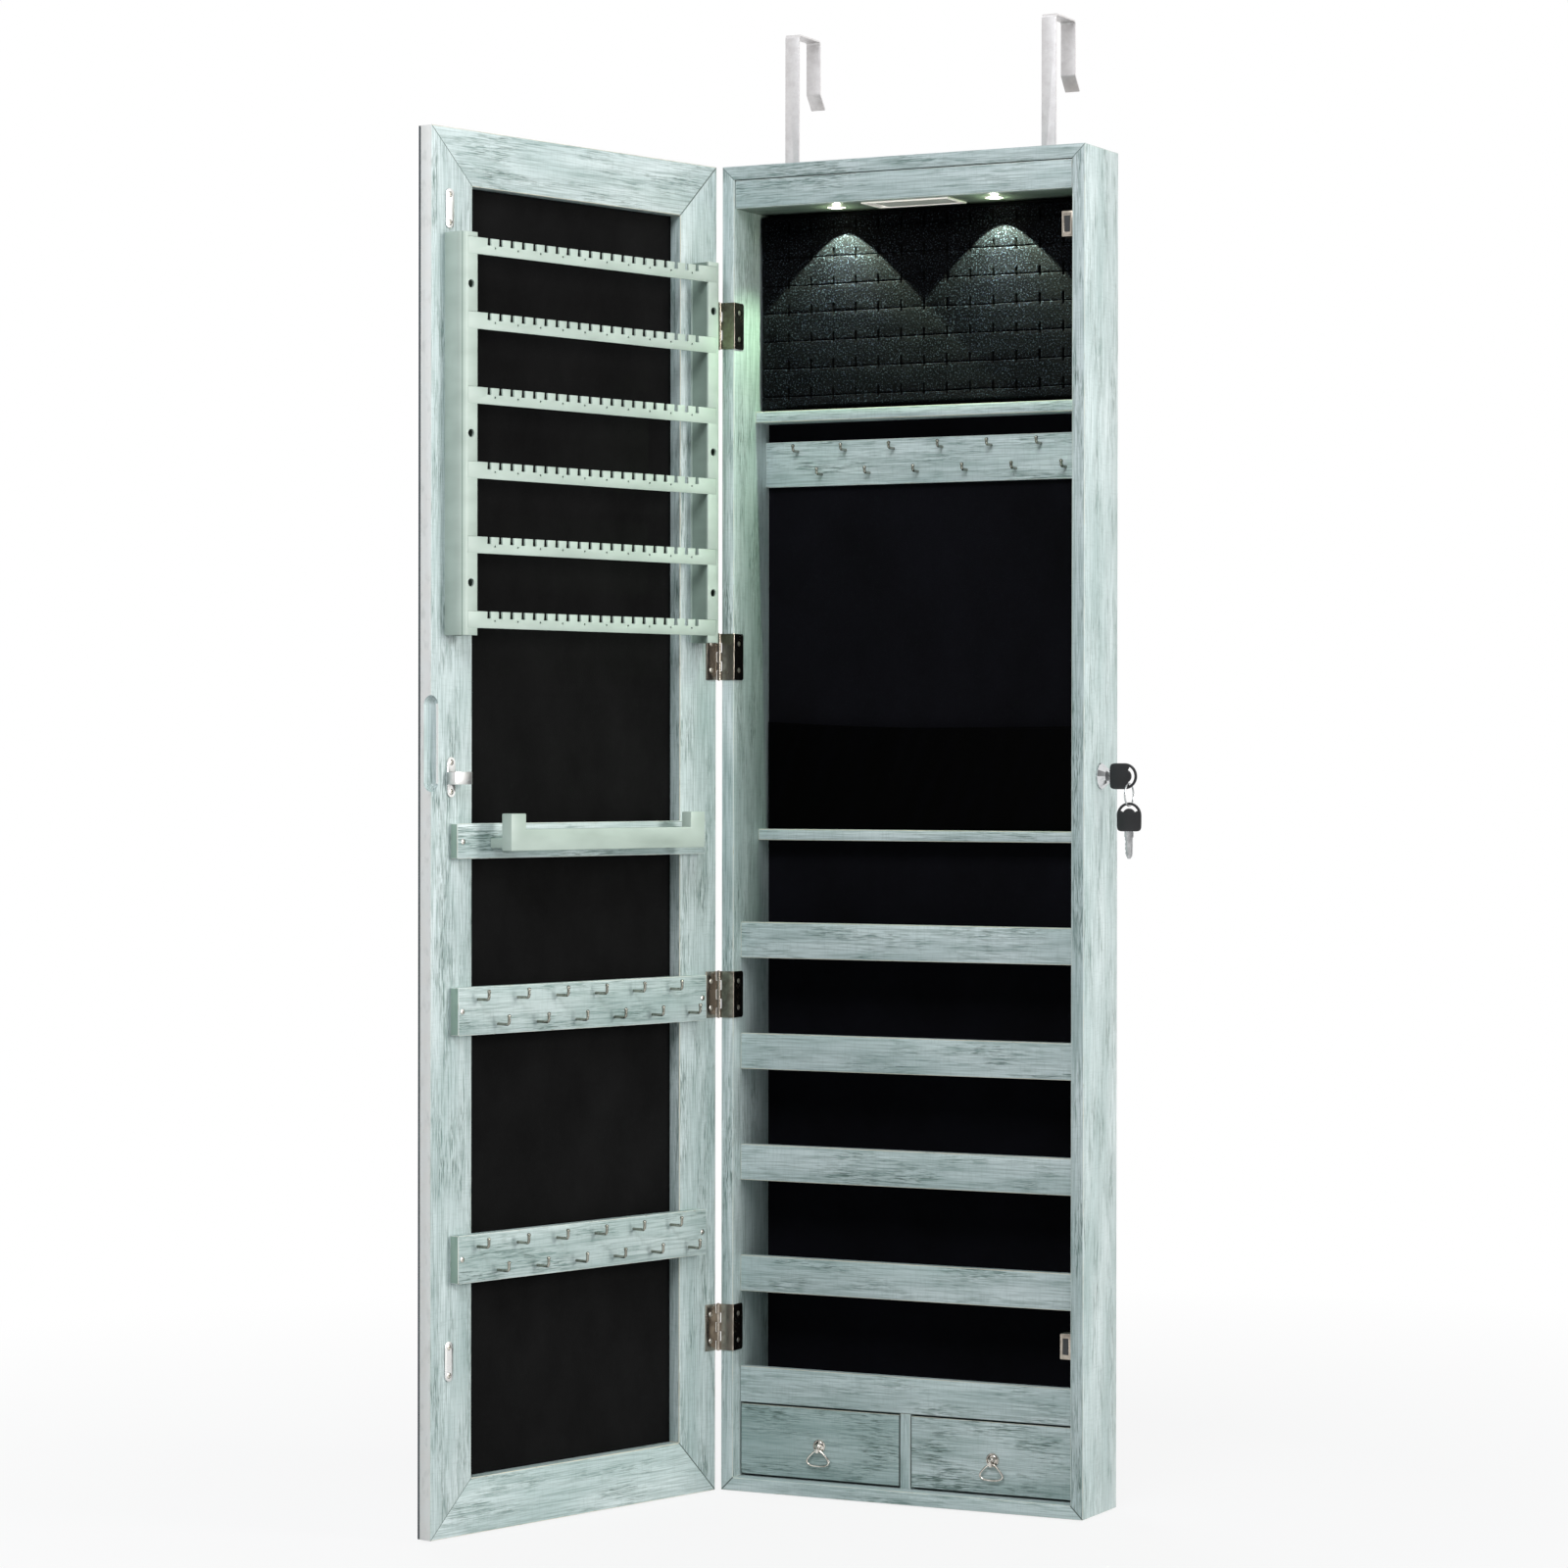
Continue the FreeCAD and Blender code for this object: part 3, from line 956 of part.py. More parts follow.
doc.recompute()
for item in doc.Objects:
    if "Invalid" in item.State or "Error" in item.State:
        raise RuntimeError(f"{item.Label} did not compute: {item.State}")
os.makedirs("parts", exist_ok=True)
for item in nodes:
    if item.Shape.isNull() or not item.Shape.isValid() or not item.Shape.Solids:
        raise RuntimeError(f"{item.Label} is not a valid solid")
for item in nodes:
    item.Shape.exportStep(f"parts/{item.Label}.step")
    print(f"{item.Label}: {len(item.Shape.Solids)} solids, {item.Shape.Volume / 1000:.2f} cm3")
print(f"{len(nodes)} sub-parts")
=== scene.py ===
import math

import bmesh
import bpy
from mathutils import Matrix, Vector, noise


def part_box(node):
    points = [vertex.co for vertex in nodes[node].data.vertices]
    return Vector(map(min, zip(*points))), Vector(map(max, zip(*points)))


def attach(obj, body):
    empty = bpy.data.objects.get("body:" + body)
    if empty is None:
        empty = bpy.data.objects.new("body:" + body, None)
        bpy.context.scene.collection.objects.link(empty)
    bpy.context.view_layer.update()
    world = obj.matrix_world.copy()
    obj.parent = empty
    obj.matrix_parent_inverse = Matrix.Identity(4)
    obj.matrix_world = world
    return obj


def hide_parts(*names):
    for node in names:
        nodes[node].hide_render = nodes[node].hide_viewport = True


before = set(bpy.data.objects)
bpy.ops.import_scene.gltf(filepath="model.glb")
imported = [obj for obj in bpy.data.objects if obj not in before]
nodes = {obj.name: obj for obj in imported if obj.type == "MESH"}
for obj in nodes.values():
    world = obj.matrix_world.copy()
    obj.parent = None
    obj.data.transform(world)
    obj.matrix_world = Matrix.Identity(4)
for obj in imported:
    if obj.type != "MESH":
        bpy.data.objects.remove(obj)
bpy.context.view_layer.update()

# Metres: x 0 half way across the cabinet, y 0 on its back plane, z 0 at its bottom edge.
# The door stands open at rest. Its pieces are shaped as if it were shut, and then swung out.
door = {"axis": (-0.1802, -0.0775, 0.0), "open": 104.97}

swing = Matrix.Translation(door["axis"]) @ Matrix.Rotation(-math.radians(door["open"]), 4, "Z") \
    @ Matrix.Translation([-value for value in door["axis"]])

print("camera and light")

camera = {"place": (1.66366, -3.58954, 0.65934), "yaw": 26.8463, "pitch": -0.2666, "roll": 0.0727, "lens": 100.35}


def aimCamera(spec):
    yaw, pitch, roll = [math.radians(spec[name]) for name in ("yaw", "pitch", "roll")]
    forward = Vector((-math.sin(yaw) * math.cos(pitch), math.cos(yaw) * math.cos(pitch), math.sin(pitch)))
    across = Vector((math.cos(yaw), math.sin(yaw), 0))
    up = across.cross(forward)
    right = math.cos(roll) * across + math.sin(roll) * up
    top = math.cos(roll) * up - math.sin(roll) * across
    data = bpy.data.cameras.new("photoCamera")
    data.lens = spec["lens"]
    data.sensor_width = 36
    data.clip_start, data.clip_end = 0.1, 40
    item = bpy.data.objects.new("photoCamera", data)
    turn = Matrix((right, top, -forward)).transposed().to_4x4()
    item.matrix_world = Matrix.Translation(spec["place"]) @ turn
    bpy.context.scene.collection.objects.link(item)
    bpy.context.scene.camera = item


aimCamera(camera)
bpy.context.scene.view_settings.view_transform = "Standard"


def linear(code):
    parts = [int(code[at:at + 2], 16) / 255 for at in (1, 3, 5)]
    return (*[part / 12.92 if part <= 0.04045 else ((part + 0.055) / 1.055) ** 2.4 for part in parts], 1.0)


def addNode(tree, kind, inputs=None, **settings):
    made = tree.nodes.new("ShaderNode" + kind)
    for name, value in settings.items():
        setattr(made, name, value)
    for socket, value in (inputs or {}).items():
        if isinstance(value, bpy.types.NodeSocket):
            tree.links.new(value, made.inputs[socket])
        else:
            made.inputs[socket].default_value = linear(value) if isinstance(value, str) else value
    return made


# Soft studio light: a tall box at the lock side, one high in front, and pale walls all round.
studio = {
    "wall": "#F4F6F8", "ambient": 0.34, "room": (0.42, -0.9, 0.0), "dim": 0.25,
    "boxes": [
        {"name": "sideBox", "place": (3.3, -0.05, 1.4), "size": (1.0, 2.0), "power": 80, "colour": "#FFFDFA"},
        {"name": "frontBox", "place": (0.7, -3.0, 3.0), "size": (1.8, 1.2), "power": 76, "colour": "#F8FBFF"},
        {"name": "backBox", "place": (-2.6, 2.4, 2.2), "size": (1.6, 1.6), "power": 60, "colour": "#F8FBFF"},
    ],
    "aim": (0.0, -0.1, 0.72), "floorWide": 9.0, "paper": "#BFC1C2", "shadow": 0.13, "shadowReach": (0.5, 1.6),
}


def seenDirectly(tree):
    path = addNode(tree, "LightPath")
    near = addNode(tree, "Math", {0: path.outputs["Is Camera Ray"], 1: path.outputs["Is Glossy Ray"]},
                   operation="MAXIMUM")
    return addNode(tree, "Math", {0: near.outputs[0], 1: path.outputs["Is Transmission Ray"]}, operation="MAXIMUM")


def lightStudio(spec):
    world = bpy.data.worlds.new("studio")
    bpy.context.scene.world = world
    world.use_nodes = True
    tree = world.node_tree
    plain = tree.nodes["Background"]
    plain.inputs["Color"].default_value = linear(spec["wall"])
    plain.inputs["Strength"].default_value = spec["ambient"]
    # the studio is white all round but for the dim room behind the camera, which gives metal its dark side
    way = addNode(tree, "VectorMath", {0: addNode(tree, "TexCoord").outputs["Generated"], 1: spec["room"]},
                  operation="DOT_PRODUCT")
    room = addNode(tree, "MapRange", {0: way.outputs["Value"], 1: 0.45, 2: 0.88, 3: 1.0, 4: spec["dim"]},
                   interpolation_type="SMOOTHSTEP")
    bright = addNode(tree, "Math", {0: room.outputs[0], 1: addNode(tree, "LightPath").outputs["Is Camera Ray"]},
                     operation="MAXIMUM")
    white = addNode(tree, "Background", {"Color": "#FFFFFF", "Strength": bright.outputs[0]})
    both = addNode(tree, "MixShader", {0: seenDirectly(tree).outputs[0], 1: plain.outputs[0], 2: white.outputs[0]})
    tree.links.new(both.outputs[0], tree.nodes["World Output"].inputs["Surface"])
    for box in spec["boxes"]:
        lamp = bpy.data.lights.new(box["name"], "AREA")
        lamp.shape = "RECTANGLE"
        lamp.size, lamp.size_y = box["size"]
        lamp.energy = box["power"]
        lamp.color = linear(box["colour"])[:3]
        item = bpy.data.objects.new(box["name"], lamp)
        item.location = box["place"]
        item.rotation_euler = (Vector(spec["aim"]) - Vector(box["place"])).to_track_quat("-Z", "Y").to_euler()
        bpy.context.scene.collection.objects.link(item)


lightStudio(studio)


def addFloor(spec):
    bm = bmesh.new()
    bmesh.ops.create_grid(bm, x_segments=1, y_segments=1, size=spec["floorWide"] / 2)
    mesh = bpy.data.meshes.new("floor")
    bm.to_mesh(mesh)
    bm.free()
    floor = bpy.data.objects.new("floor", mesh)
    floor.location = (0, 0, -0.0015)
    bpy.context.scene.collection.objects.link(floor)
    paper = bpy.data.materials.new("whitePaper")  # matt studio paper: a faint soft shadow and no gloss
    paper.use_nodes = True
    tree = paper.node_tree
    tree.nodes.remove(tree.nodes["Principled BSDF"])
    matt = addNode(tree, "BsdfDiffuse", {"Color": spec["paper"]})
    bright = addNode(tree, "Emission", {"Color": "#FFFFFF", "Strength": 1.0})
    near = addNode(tree, "VectorMath", {0: addNode(tree, "TexCoord").outputs["Object"]}, operation="LENGTH")
    share = addNode(tree, "MapRange", {0: near.outputs["Value"], 1: spec["shadowReach"][0],
                                       2: spec["shadowReach"][1], 3: 1 - spec["shadow"], 4: 1.0})
    seen = addNode(tree, "Math", {0: seenDirectly(tree).outputs[0], 1: share.outputs[0]}, operation="MULTIPLY")
    both = addNode(tree, "MixShader", {0: seen.outputs[0], 1: matt.outputs[0], 2: bright.outputs[0]})
    tree.links.new(both.outputs[0], tree.nodes["Material Output"].inputs["Surface"])
    mesh.materials.append(paper)


addFloor(studio)

print("materials")


def startMaterial(name, look):
    material = bpy.data.materials.new(name)
    material.use_nodes = True
    shader = material.node_tree.nodes["Principled BSDF"]
    for socket, value in look.items():
        shader.inputs[socket].default_value = linear(value) if isinstance(value, str) else value
    return material, material.node_tree, shader


def pattern(tree, size, turn=(0, 0, 0), shift=(0, 0, 0), detail=2.0, rough=0.5, warp=0.0):
    # noise whose marks are as long on each axis as size says, in metres
    place = addNode(tree, "TexCoord")
    spot = addNode(tree, "Mapping", {"Vector": place.outputs["Object"], "Location": shift,
                                     "Rotation": [math.radians(value) for value in turn], "Scale": size},
                   vector_type="TEXTURE")
    return addNode(tree, "TexNoise", {"Vector": spot.outputs[0], "Scale": 1.0, "Detail": detail,
                                      "Roughness": rough, "Distortion": warp}).outputs[0]


# Weathered sea-foam melamine foil on fibreboard, printed with wire-brushed oak: a pale whitewash with
# short dark dashes in clusters along the grain, faint saw marks across it, and a satin sheen.
laminateLook = {
    "wash": "#D4E0E0", "body": "#B7C8C7", "dash": "#728A85", "pore": "#51665F",
    "roughness": 0.46, "cloudSize": (0.15, 0.03, 0.03), "patchSize": (0.085, 0.017, 0.017),
    "dashSize": (0.022, 0.0011, 0.0011), "fibreSize": (0.045, 0.0011, 0.0011), "sawSize": (0.0016, 0.012, 0.012),
    "speckSize": (0.014, 0.0009, 0.0009), "worn": 0.75, "wear": (0.50, 0.66),
}


def laminate(name, look, turn=(0, 0, 0), shift=(0, 0, 0)):
    material, tree, shader = startMaterial(name, {"Roughness": look["roughness"], "IOR": 1.48})
    moved = Vector(shift)
    cloud = pattern(tree, look["cloudSize"], turn, moved, 2.0, 0.55)
    patch = pattern(tree, look["patchSize"], turn, moved + Vector((3, 1, 2)), 3.0, 0.6)
    dash = pattern(tree, look["dashSize"], turn, moved + Vector((1, 5, 2)), 2.0, 0.6)
    fibre = pattern(tree, look["fibreSize"], turn, moved + Vector((7, 2, 4)), 2.0, 0.6)
    saw = pattern(tree, look["sawSize"], turn, moved + Vector((2, 8, 6)), 1.0, 0.5)
    speck = pattern(tree, look["speckSize"], turn, moved + Vector((4, 4, 9)), 2.0, 0.6)
    # whitewash that thins in clouds, over fine fibres and faint saw marks
    share = addNode(tree, "MapRange", {0: cloud, 1: 0.36, 2: 0.66})
    ground = addNode(tree, "Mix", {0: share.outputs[0], 6: look["wash"], 7: look["body"]}, data_type="RGBA")
    share = addNode(tree, "MapRange", {0: fibre, 1: 0.42, 2: 0.72, 4: 0.62})
    threads = addNode(tree, "Mix", {0: share.outputs[0], 6: ground.outputs[2], 7: look["dash"]}, data_type="RGBA")
    share = addNode(tree, "MapRange", {0: saw, 1: 0.5, 2: 0.8, 4: 0.16})
    sawn = addNode(tree, "Mix", {0: share.outputs[0], 6: threads.outputs[2], 7: look["dash"]}, data_type="RGBA")
    # dark dashes, denser inside the patches
    marks = addNode(tree, "MapRange", {0: dash, 1: 0.53, 2: 0.62})
    where = addNode(tree, "MapRange", {0: patch, 1: 0.42, 2: 0.64, 3: 0.15})
    clustered = addNode(tree, "Math", {0: marks.outputs[0], 1: where.outputs[0]}, operation="MULTIPLY")
    share = addNode(tree, "Math", {0: clustered.outputs[0], 1: 0.85}, operation="MULTIPLY")
    dashed = addNode(tree, "Mix", {0: share.outputs[0], 6: sawn.outputs[2], 7: look["dash"]}, data_type="RGBA")
    # pores rubbed open where the foil is worn
    pores = addNode(tree, "MapRange", {0: speck, 1: 0.51, 2: 0.60})
    rubbed = addNode(tree, "MapRange", {0: patch, 1: look["wear"][0], 2: look["wear"][1]})
    opened = addNode(tree, "Math", {0: pores.outputs[0], 1: rubbed.outputs[0]}, operation="MULTIPLY")
    share = addNode(tree, "Math", {0: opened.outputs[0], 1: look["worn"]}, operation="MULTIPLY")
    worn = addNode(tree, "Mix", {0: share.outputs[0], 6: dashed.outputs[2], 7: look["pore"]}, data_type="RGBA")
    tree.links.new(worn.outputs[2], shader.inputs["Base Color"])
    gloss = addNode(tree, "MapRange", {0: clustered.outputs[0], 3: look["roughness"] - 0.05,
                                       4: look["roughness"] + 0.16})
    tree.links.new(gloss.outputs[0], shader.inputs["Roughness"])
    raised = addNode(tree, "Math", {0: fibre, 1: 0.5}, operation="MULTIPLY")
    height = addNode(tree, "Math", {0: raised.outputs[0], 1: clustered.outputs[0]}, operation="SUBTRACT")
    bump = addNode(tree, "Bump", {"Height": height.outputs[0], "Distance": 0.00012, "Strength": 0.5})
    tree.links.new(bump.outputs[0], shader.inputs["Normal"])
    return material


grainUp = (0, -90, 0)
grainAcross = (0, 0, 0)
grainDoorAcross = (0, 0, -door["open"])
rawLook = {"foil": "#CBD7D4", "fibre": "#DFD8C2", "dark": "#A09B84", "roughness": 0.7}


# Cut edge of the foil: a hair of cream fibreboard, rubbed pale and a little soiled.
def rawEdge(name, look, share):
    material, tree, shader = startMaterial(name, {"Roughness": look["roughness"], "IOR": 1.45})
    rubbed = pattern(tree, (0.022, 0.022, 0.022), detail=3.0)
    soiled = pattern(tree, (0.006, 0.006, 0.012), shift=(1, 2, 3), detail=3.0)
    bare = addNode(tree, "MapRange", {0: rubbed, 1: 0.35, 2: 0.65, 3: share - 0.25, 4: share + 0.2})
    tone = addNode(tree, "Mix", {0: bare.outputs[0], 6: look["foil"], 7: look["fibre"]}, data_type="RGBA")
    grime = addNode(tree, "MapRange", {0: soiled, 1: 0.55, 2: 0.75, 4: 0.6})
    colour = addNode(tree, "Mix", {0: grime.outputs[0], 6: tone.outputs[2], 7: look["dark"]}, data_type="RGBA")
    tree.links.new(colour.outputs[2], shader.inputs["Base Color"])
    return material


# The same print on every board, moved along so that no two repeat. The drawers' is rubbed through in patches,
# the left drawer's is darkened with painted shade, the soffit's lies in shade and is darkened with painted shade,
# and the hook boards' is a little duller.
sideFoil = laminate("weatheredFoilUpright", laminateLook, grainUp)
acrossFoil = laminate("weatheredFoilAcross", laminateLook, grainAcross, (0.31, 0.12, 0.4))
railFoil = laminate("weatheredFoilRails", laminateLook, grainAcross, (1.7, 0.5, 1.1))
drawerLook = dict(laminateLook, worn=0.9, body="#AFC1BF", patchSize=(0.07, 0.024, 0.024), wear=(0.46, 0.62))
drawerFoil = laminate("weatheredFoilDrawers", drawerLook, grainAcross, (2.4, 0.9, 0.61))
# painted shade: the left drawer's foil is darker than the right drawer's
paintedShadeDrawerLook = dict(drawerLook, wash="#C2D2D1", body="#A0B4B2", dash="#667E79")
paintedShadeDrawerFoil = laminate("weatheredFoilDarkDrawer", paintedShadeDrawerLook, grainAcross, (1.2, 0.4, 1.61))
# painted shade: the soffit's foil is darkened for the shade it lies in
paintedShadeSoffitLook = dict(laminateLook, wash="#8F9C90", body="#7C8A7F", dash="#5E6C62")
paintedShadeSoffitFoil = laminate("shadedFoilSoffit", paintedShadeSoffitLook, grainAcross, (0.2, 0.8, 1.3))
doorFoilUp = laminate("weatheredFoilDoorUpright", laminateLook, grainUp, (0.5, 1.4, 0.2))
hookBoardLook = dict(laminateLook, wash="#C6D3D2", body="#ADBFBD")
hookBoardFoil = laminate("weatheredFoilHookBoards", hookBoardLook, grainDoorAcross, (0.4, 2.3, 0.7))
doorFoilAcross = laminate("weatheredFoilDoorAcross", laminateLook, grainDoorAcross, (0.9, 0.3, 1.6))
# Cream where the saw went through, pale where a foil corner is rubbed, sage where an end was painted and darker
# there as painted shade, dark in a joint, painted shade on a return that is never seen lit, and white where paper
# tape covers the door's edge.
creamEdge = rawEdge("creamCutEdge", rawLook, 0.75)
paleEdge = rawEdge("rubbedFoilEdge", dict(rawLook, foil="#CEDAD8"), 0.2)
# painted shade: the sage of the board ends is darkened, as the ends face away from the key light
sageEndAndShade = rawEdge("paintedBoardEnd", {"foil": "#8FA79A", "fibre": "#9AB0A4", "dark": "#7D9488",
                                      "roughness": 0.6}, 0.4)
# painted shade: a dark tone for returns and arrises that sit in the drawer gaps
paintedShadeEdge = rawEdge("shadedReturn", {"foil": "#4C5854", "fibre": "#444F4B", "dark": "#363F3C",
                                      "roughness": 0.7}, 0.4)
jointLine = rawEdge("mitreJoint", {"foil": "#7E8E8B", "fibre": "#6B746C", "dark": "#4C5650",
                                   "roughness": 0.8}, 0.4)
edgeTape = rawEdge("paperEdgeTape", {"foil": "#F5F8F6", "fibre": "#F3F1EC", "dark": "#DADCD8",
                                     "roughness": 0.5}, 0.5)


# Cotton velvet glued to card: near black, dull, with faint marks where the pile was brushed.
def velvet(name, look):
    material, tree, shader = startMaterial(name, {"Roughness": 1.0, "IOR": 1.4, "Specular IOR Level": 0.12,
                                                  "Sheen Weight": look["sheen"], "Sheen Roughness": 0.45,
                                                  "Sheen Tint": look["nap"]})
    brushed = pattern(tree, (0.06, 0.06, 0.09), shift=(4, 1, 2), detail=4.0, rough=0.6)
    pile = pattern(tree, (0.0012, 0.0012, 0.0012), detail=1.0)
    share = addNode(tree, "MapRange", {0: brushed, 1: 0.3, 2: 0.72})
    colour = addNode(tree, "Mix", {0: share.outputs[0], 6: look["deep"], 7: look["pale"]}, data_type="RGBA")
    tree.links.new(colour.outputs[2], shader.inputs["Base Color"])
    bump = addNode(tree, "Bump", {"Height": pile, "Distance": 0.0004, "Strength": 0.35})
    tree.links.new(bump.outputs[0], shader.inputs["Normal"])
    return material


# The lining is a blue black in shade and the door's a neutral black in full light: the lining's tone is darkened as
# painted shade and the door's lightened as painted light. The trays are flocked.
cabinetVelvet = velvet("blackVelvetLining", {"deep": "#08080B", "pale": "#0E0E13", "nap": "#30303A",
                                             "sheen": 0.04})
doorVelvet = velvet("blackVelvetDoor", {"deep": "#0C0C0C", "pale": "#151515", "nap": "#3A3A3A", "sheen": 0.06})
trayFlock = velvet("blackFlockTray", {"deep": "#101013", "pale": "#17171B", "nap": "#3A3A40", "sheen": 0.1})

foamLook = {"deep": "#010102", "pale": "#040405", "paintedGlint": "#323940"}


# Flocked foam sheet, die cut for rings: a dull black pile with grains that catch the lamps; their pale colour is a
# painted highlight.
def flockedFoam(name, look):
    material, tree, shader = startMaterial(name, {"IOR": 1.4, "Specular IOR Level": 0.05,
                                                  "Sheen Weight": 0.006, "Sheen Roughness": 0.4,
                                                  "Sheen Tint": "#6A7078"})
    tone = pattern(tree, (0.03, 0.03, 0.03), detail=3.0)
    grain = pattern(tree, (0.0015, 0.0015, 0.0015), shift=(3, 3, 1), detail=2.0, rough=0.7)
    share = addNode(tree, "MapRange", {0: tone, 1: 0.35, 2: 0.65})
    ground = addNode(tree, "Mix", {0: share.outputs[0], 6: look["deep"], 7: look["pale"]}, data_type="RGBA")
    # painted highlight: the grains are mixed toward the paler glint colour
    share = addNode(tree, "MapRange", {0: grain, 1: 0.57, 2: 0.70})
    colour = addNode(tree, "Mix", {0: share.outputs[0], 6: ground.outputs[2], 7: look["paintedGlint"]}, data_type="RGBA")
    tree.links.new(colour.outputs[2], shader.inputs["Base Color"])
    gloss = addNode(tree, "MapRange", {0: grain, 1: 0.5, 2: 0.75, 3: 0.8, 4: 0.5})
    tree.links.new(gloss.outputs[0], shader.inputs["Roughness"])
    bump = addNode(tree, "Bump", {"Height": grain, "Distance": 0.0012, "Strength": 0.6})
    tree.links.new(bump.outputs[0], shader.inputs["Normal"])
    return material


# The pile shows in front, and inside the cuts the foam is painted near black as painted shade.
cushionFoam = flockedFoam("flockedRingFoam", foamLook)
paintedShadeFoam = flockedFoam("rawFoamInCuts", {"deep": "#000000", "pale": "#020202", "paintedGlint": "#050505"})

satinLook = {"deep": "#010101", "pale": "#020203", "roughness": 0.5}


# Black velour of the pocket, stretched flat: shinier than the lining, with slack lines whose paler tone is painted
# highlight.
def velour(name, look):
    material, tree, shader = startMaterial(name, {"IOR": 1.4, "Roughness": look["roughness"],
                                                  "Specular IOR Level": 0.03, "Sheen Weight": 0.003,
                                                  "Sheen Roughness": 0.3, "Sheen Tint": "#50505A"})
    slack = pattern(tree, (0.012, 0.012, 0.08), turn=(0, 24, 0), detail=3.0)
    weave = pattern(tree, (0.001, 0.001, 0.001), detail=1.0)
    # painted highlight: the cloth is a touch paler along the slack lines
    share = addNode(tree, "MapRange", {0: slack, 1: 0.4, 2: 0.7})
    colour = addNode(tree, "Mix", {0: share.outputs[0], 6: look["deep"], 7: look["pale"]}, data_type="RGBA")
    tree.links.new(colour.outputs[2], shader.inputs["Base Color"])
    height = addNode(tree, "Math", {0: weave, 1: 0.3, 2: slack}, operation="MULTIPLY_ADD")
    bump = addNode(tree, "Bump", {"Height": height.outputs[0], "Distance": 0.0006, "Strength": 0.4})
    tree.links.new(bump.outputs[0], shader.inputs["Normal"])
    return material


pocketVelour = velour("blackPocketVelour", satinLook)

plasticLook = {"body": "#B9C8BE", "shade": "#ABBAB0", "roughness": 0.42}


# Injection moulded ABS in sage, satin from a spark-eroded mould, with faint flow marks.
def mouldedPlastic(name, look, grain=0.0009):
    material, tree, shader = startMaterial(name, {"IOR": 1.53, "Roughness": look["roughness"]})
    flow = pattern(tree, (0.05, 0.05, 0.02), detail=2.0)
    spark = pattern(tree, (grain, grain, grain), detail=1.0)
    share = addNode(tree, "MapRange", {0: flow, 1: 0.35, 2: 0.7})
    colour = addNode(tree, "Mix", {0: share.outputs[0], 6: look["body"], 7: look["shade"]}, data_type="RGBA")
    tree.links.new(colour.outputs[2], shader.inputs["Base Color"])
    gloss = addNode(tree, "MapRange", {0: spark, 1: 0.3, 2: 0.7, 3: look["roughness"] - 0.06,
                                       4: look["roughness"] + 0.08})
    tree.links.new(gloss.outputs[0], shader.inputs["Roughness"])
    bump = addNode(tree, "Bump", {"Height": spark, "Distance": 0.00006, "Strength": 0.4})
    tree.links.new(bump.outputs[0], shader.inputs["Normal"])
    return material


# Sage for the racks, with a darker sage inside their channels as painted shade; silver paint, lightened as painted
# light for the shaded undersides, or grey for the lamp fittings; glossy black for the key caps, dull grey for the
# sintered magnets and lacquer for the battery cans.
sagePlastic = mouldedPlastic("sageAbs", plasticLook)
# painted shade: the darker sage inside the posts' channels and on the walls that close them
paintedShadePlastic = mouldedPlastic("sageAbsInside", {"body": "#8C9E93", "shade": "#7D8F84", "roughness": 0.5})
# painted light: this silver is paler than its own tone, for the tray and bezels that face down into little light
silverPlasticPaintedLight = mouldedPlastic("silverPaintedAbs", {"body": "#F1F3EC", "shade": "#E6E8E0", "roughness": 0.36})
ribbedPlastic = mouldedPlastic("greyPaintedAbs", {"body": "#8F958F", "shade": "#7B817B", "roughness": 0.42})
keyPlastic = mouldedPlastic("blackKeyPlastic", {"body": "#141416", "shade": "#1B1B1E", "roughness": 0.36},
                            0.0006)
magnetGrey = mouldedPlastic("ferriteMagnet", {"body": "#3A3C3D", "shade": "#2B2C2D", "roughness": 0.55})
canPaint = mouldedPlastic("paintedBatteryCan", {"body": "#34373B", "shade": "#2A2C30", "roughness": 0.3})


# Plated and brushed metals: smudges shift the gloss, and a brushed one has fine lines along the pull.
def metal(name, look, lines=None):
    material, tree, shader = startMaterial(name, {"Metallic": 1.0})
    smudge = pattern(tree, (0.009, 0.009, 0.009), shift=(2, 5, 1), detail=4.0, rough=0.65)
    share = addNode(tree, "MapRange", {0: smudge, 1: 0.4, 2: 0.7})
    colour = addNode(tree, "Mix", {0: share.outputs[0], 6: look["body"], 7: look["shade"]}, data_type="RGBA")
    tree.links.new(colour.outputs[2], shader.inputs["Base Color"])
    gloss = addNode(tree, "MapRange", {0: smudge, 1: 0.35, 2: 0.7, 3: look["roughness"],
                                       4: look["roughness"] + look["smear"]})
    tree.links.new(gloss.outputs[0], shader.inputs["Roughness"])
    if lines:
        brushed = pattern(tree, lines, detail=2.0, rough=0.6)
        bump = addNode(tree, "Bump", {"Height": brushed, "Distance": 0.00004, "Strength": 0.5})
        tree.links.new(bump.outputs[0], shader.inputs["Normal"])
    return material


# Nickel plate: warm and sharp on the hinges, greyer on the hooks, aged on the pulls with tarnish in the groove.
hingeNickel = metal("brightNickelHinge", {"body": "#B5ADA1", "shade": "#857B70", "roughness": 0.16,
                                          "smear": 0.14})
hookNickel = metal("brightNickelHook", {"body": "#ABAAA0", "shade": "#74746A", "roughness": 0.16, "smear": 0.12})
pullNickel = metal("agedNickelPull", {"body": "#E3DFD8", "shade": "#938C82", "roughness": 0.1, "smear": 0.12})
darkNickel = metal("tarnishedNickelRecess", {"body": "#4B4640", "shade": "#2E2A26", "roughness": 0.3,
                                             "smear": 0.2})
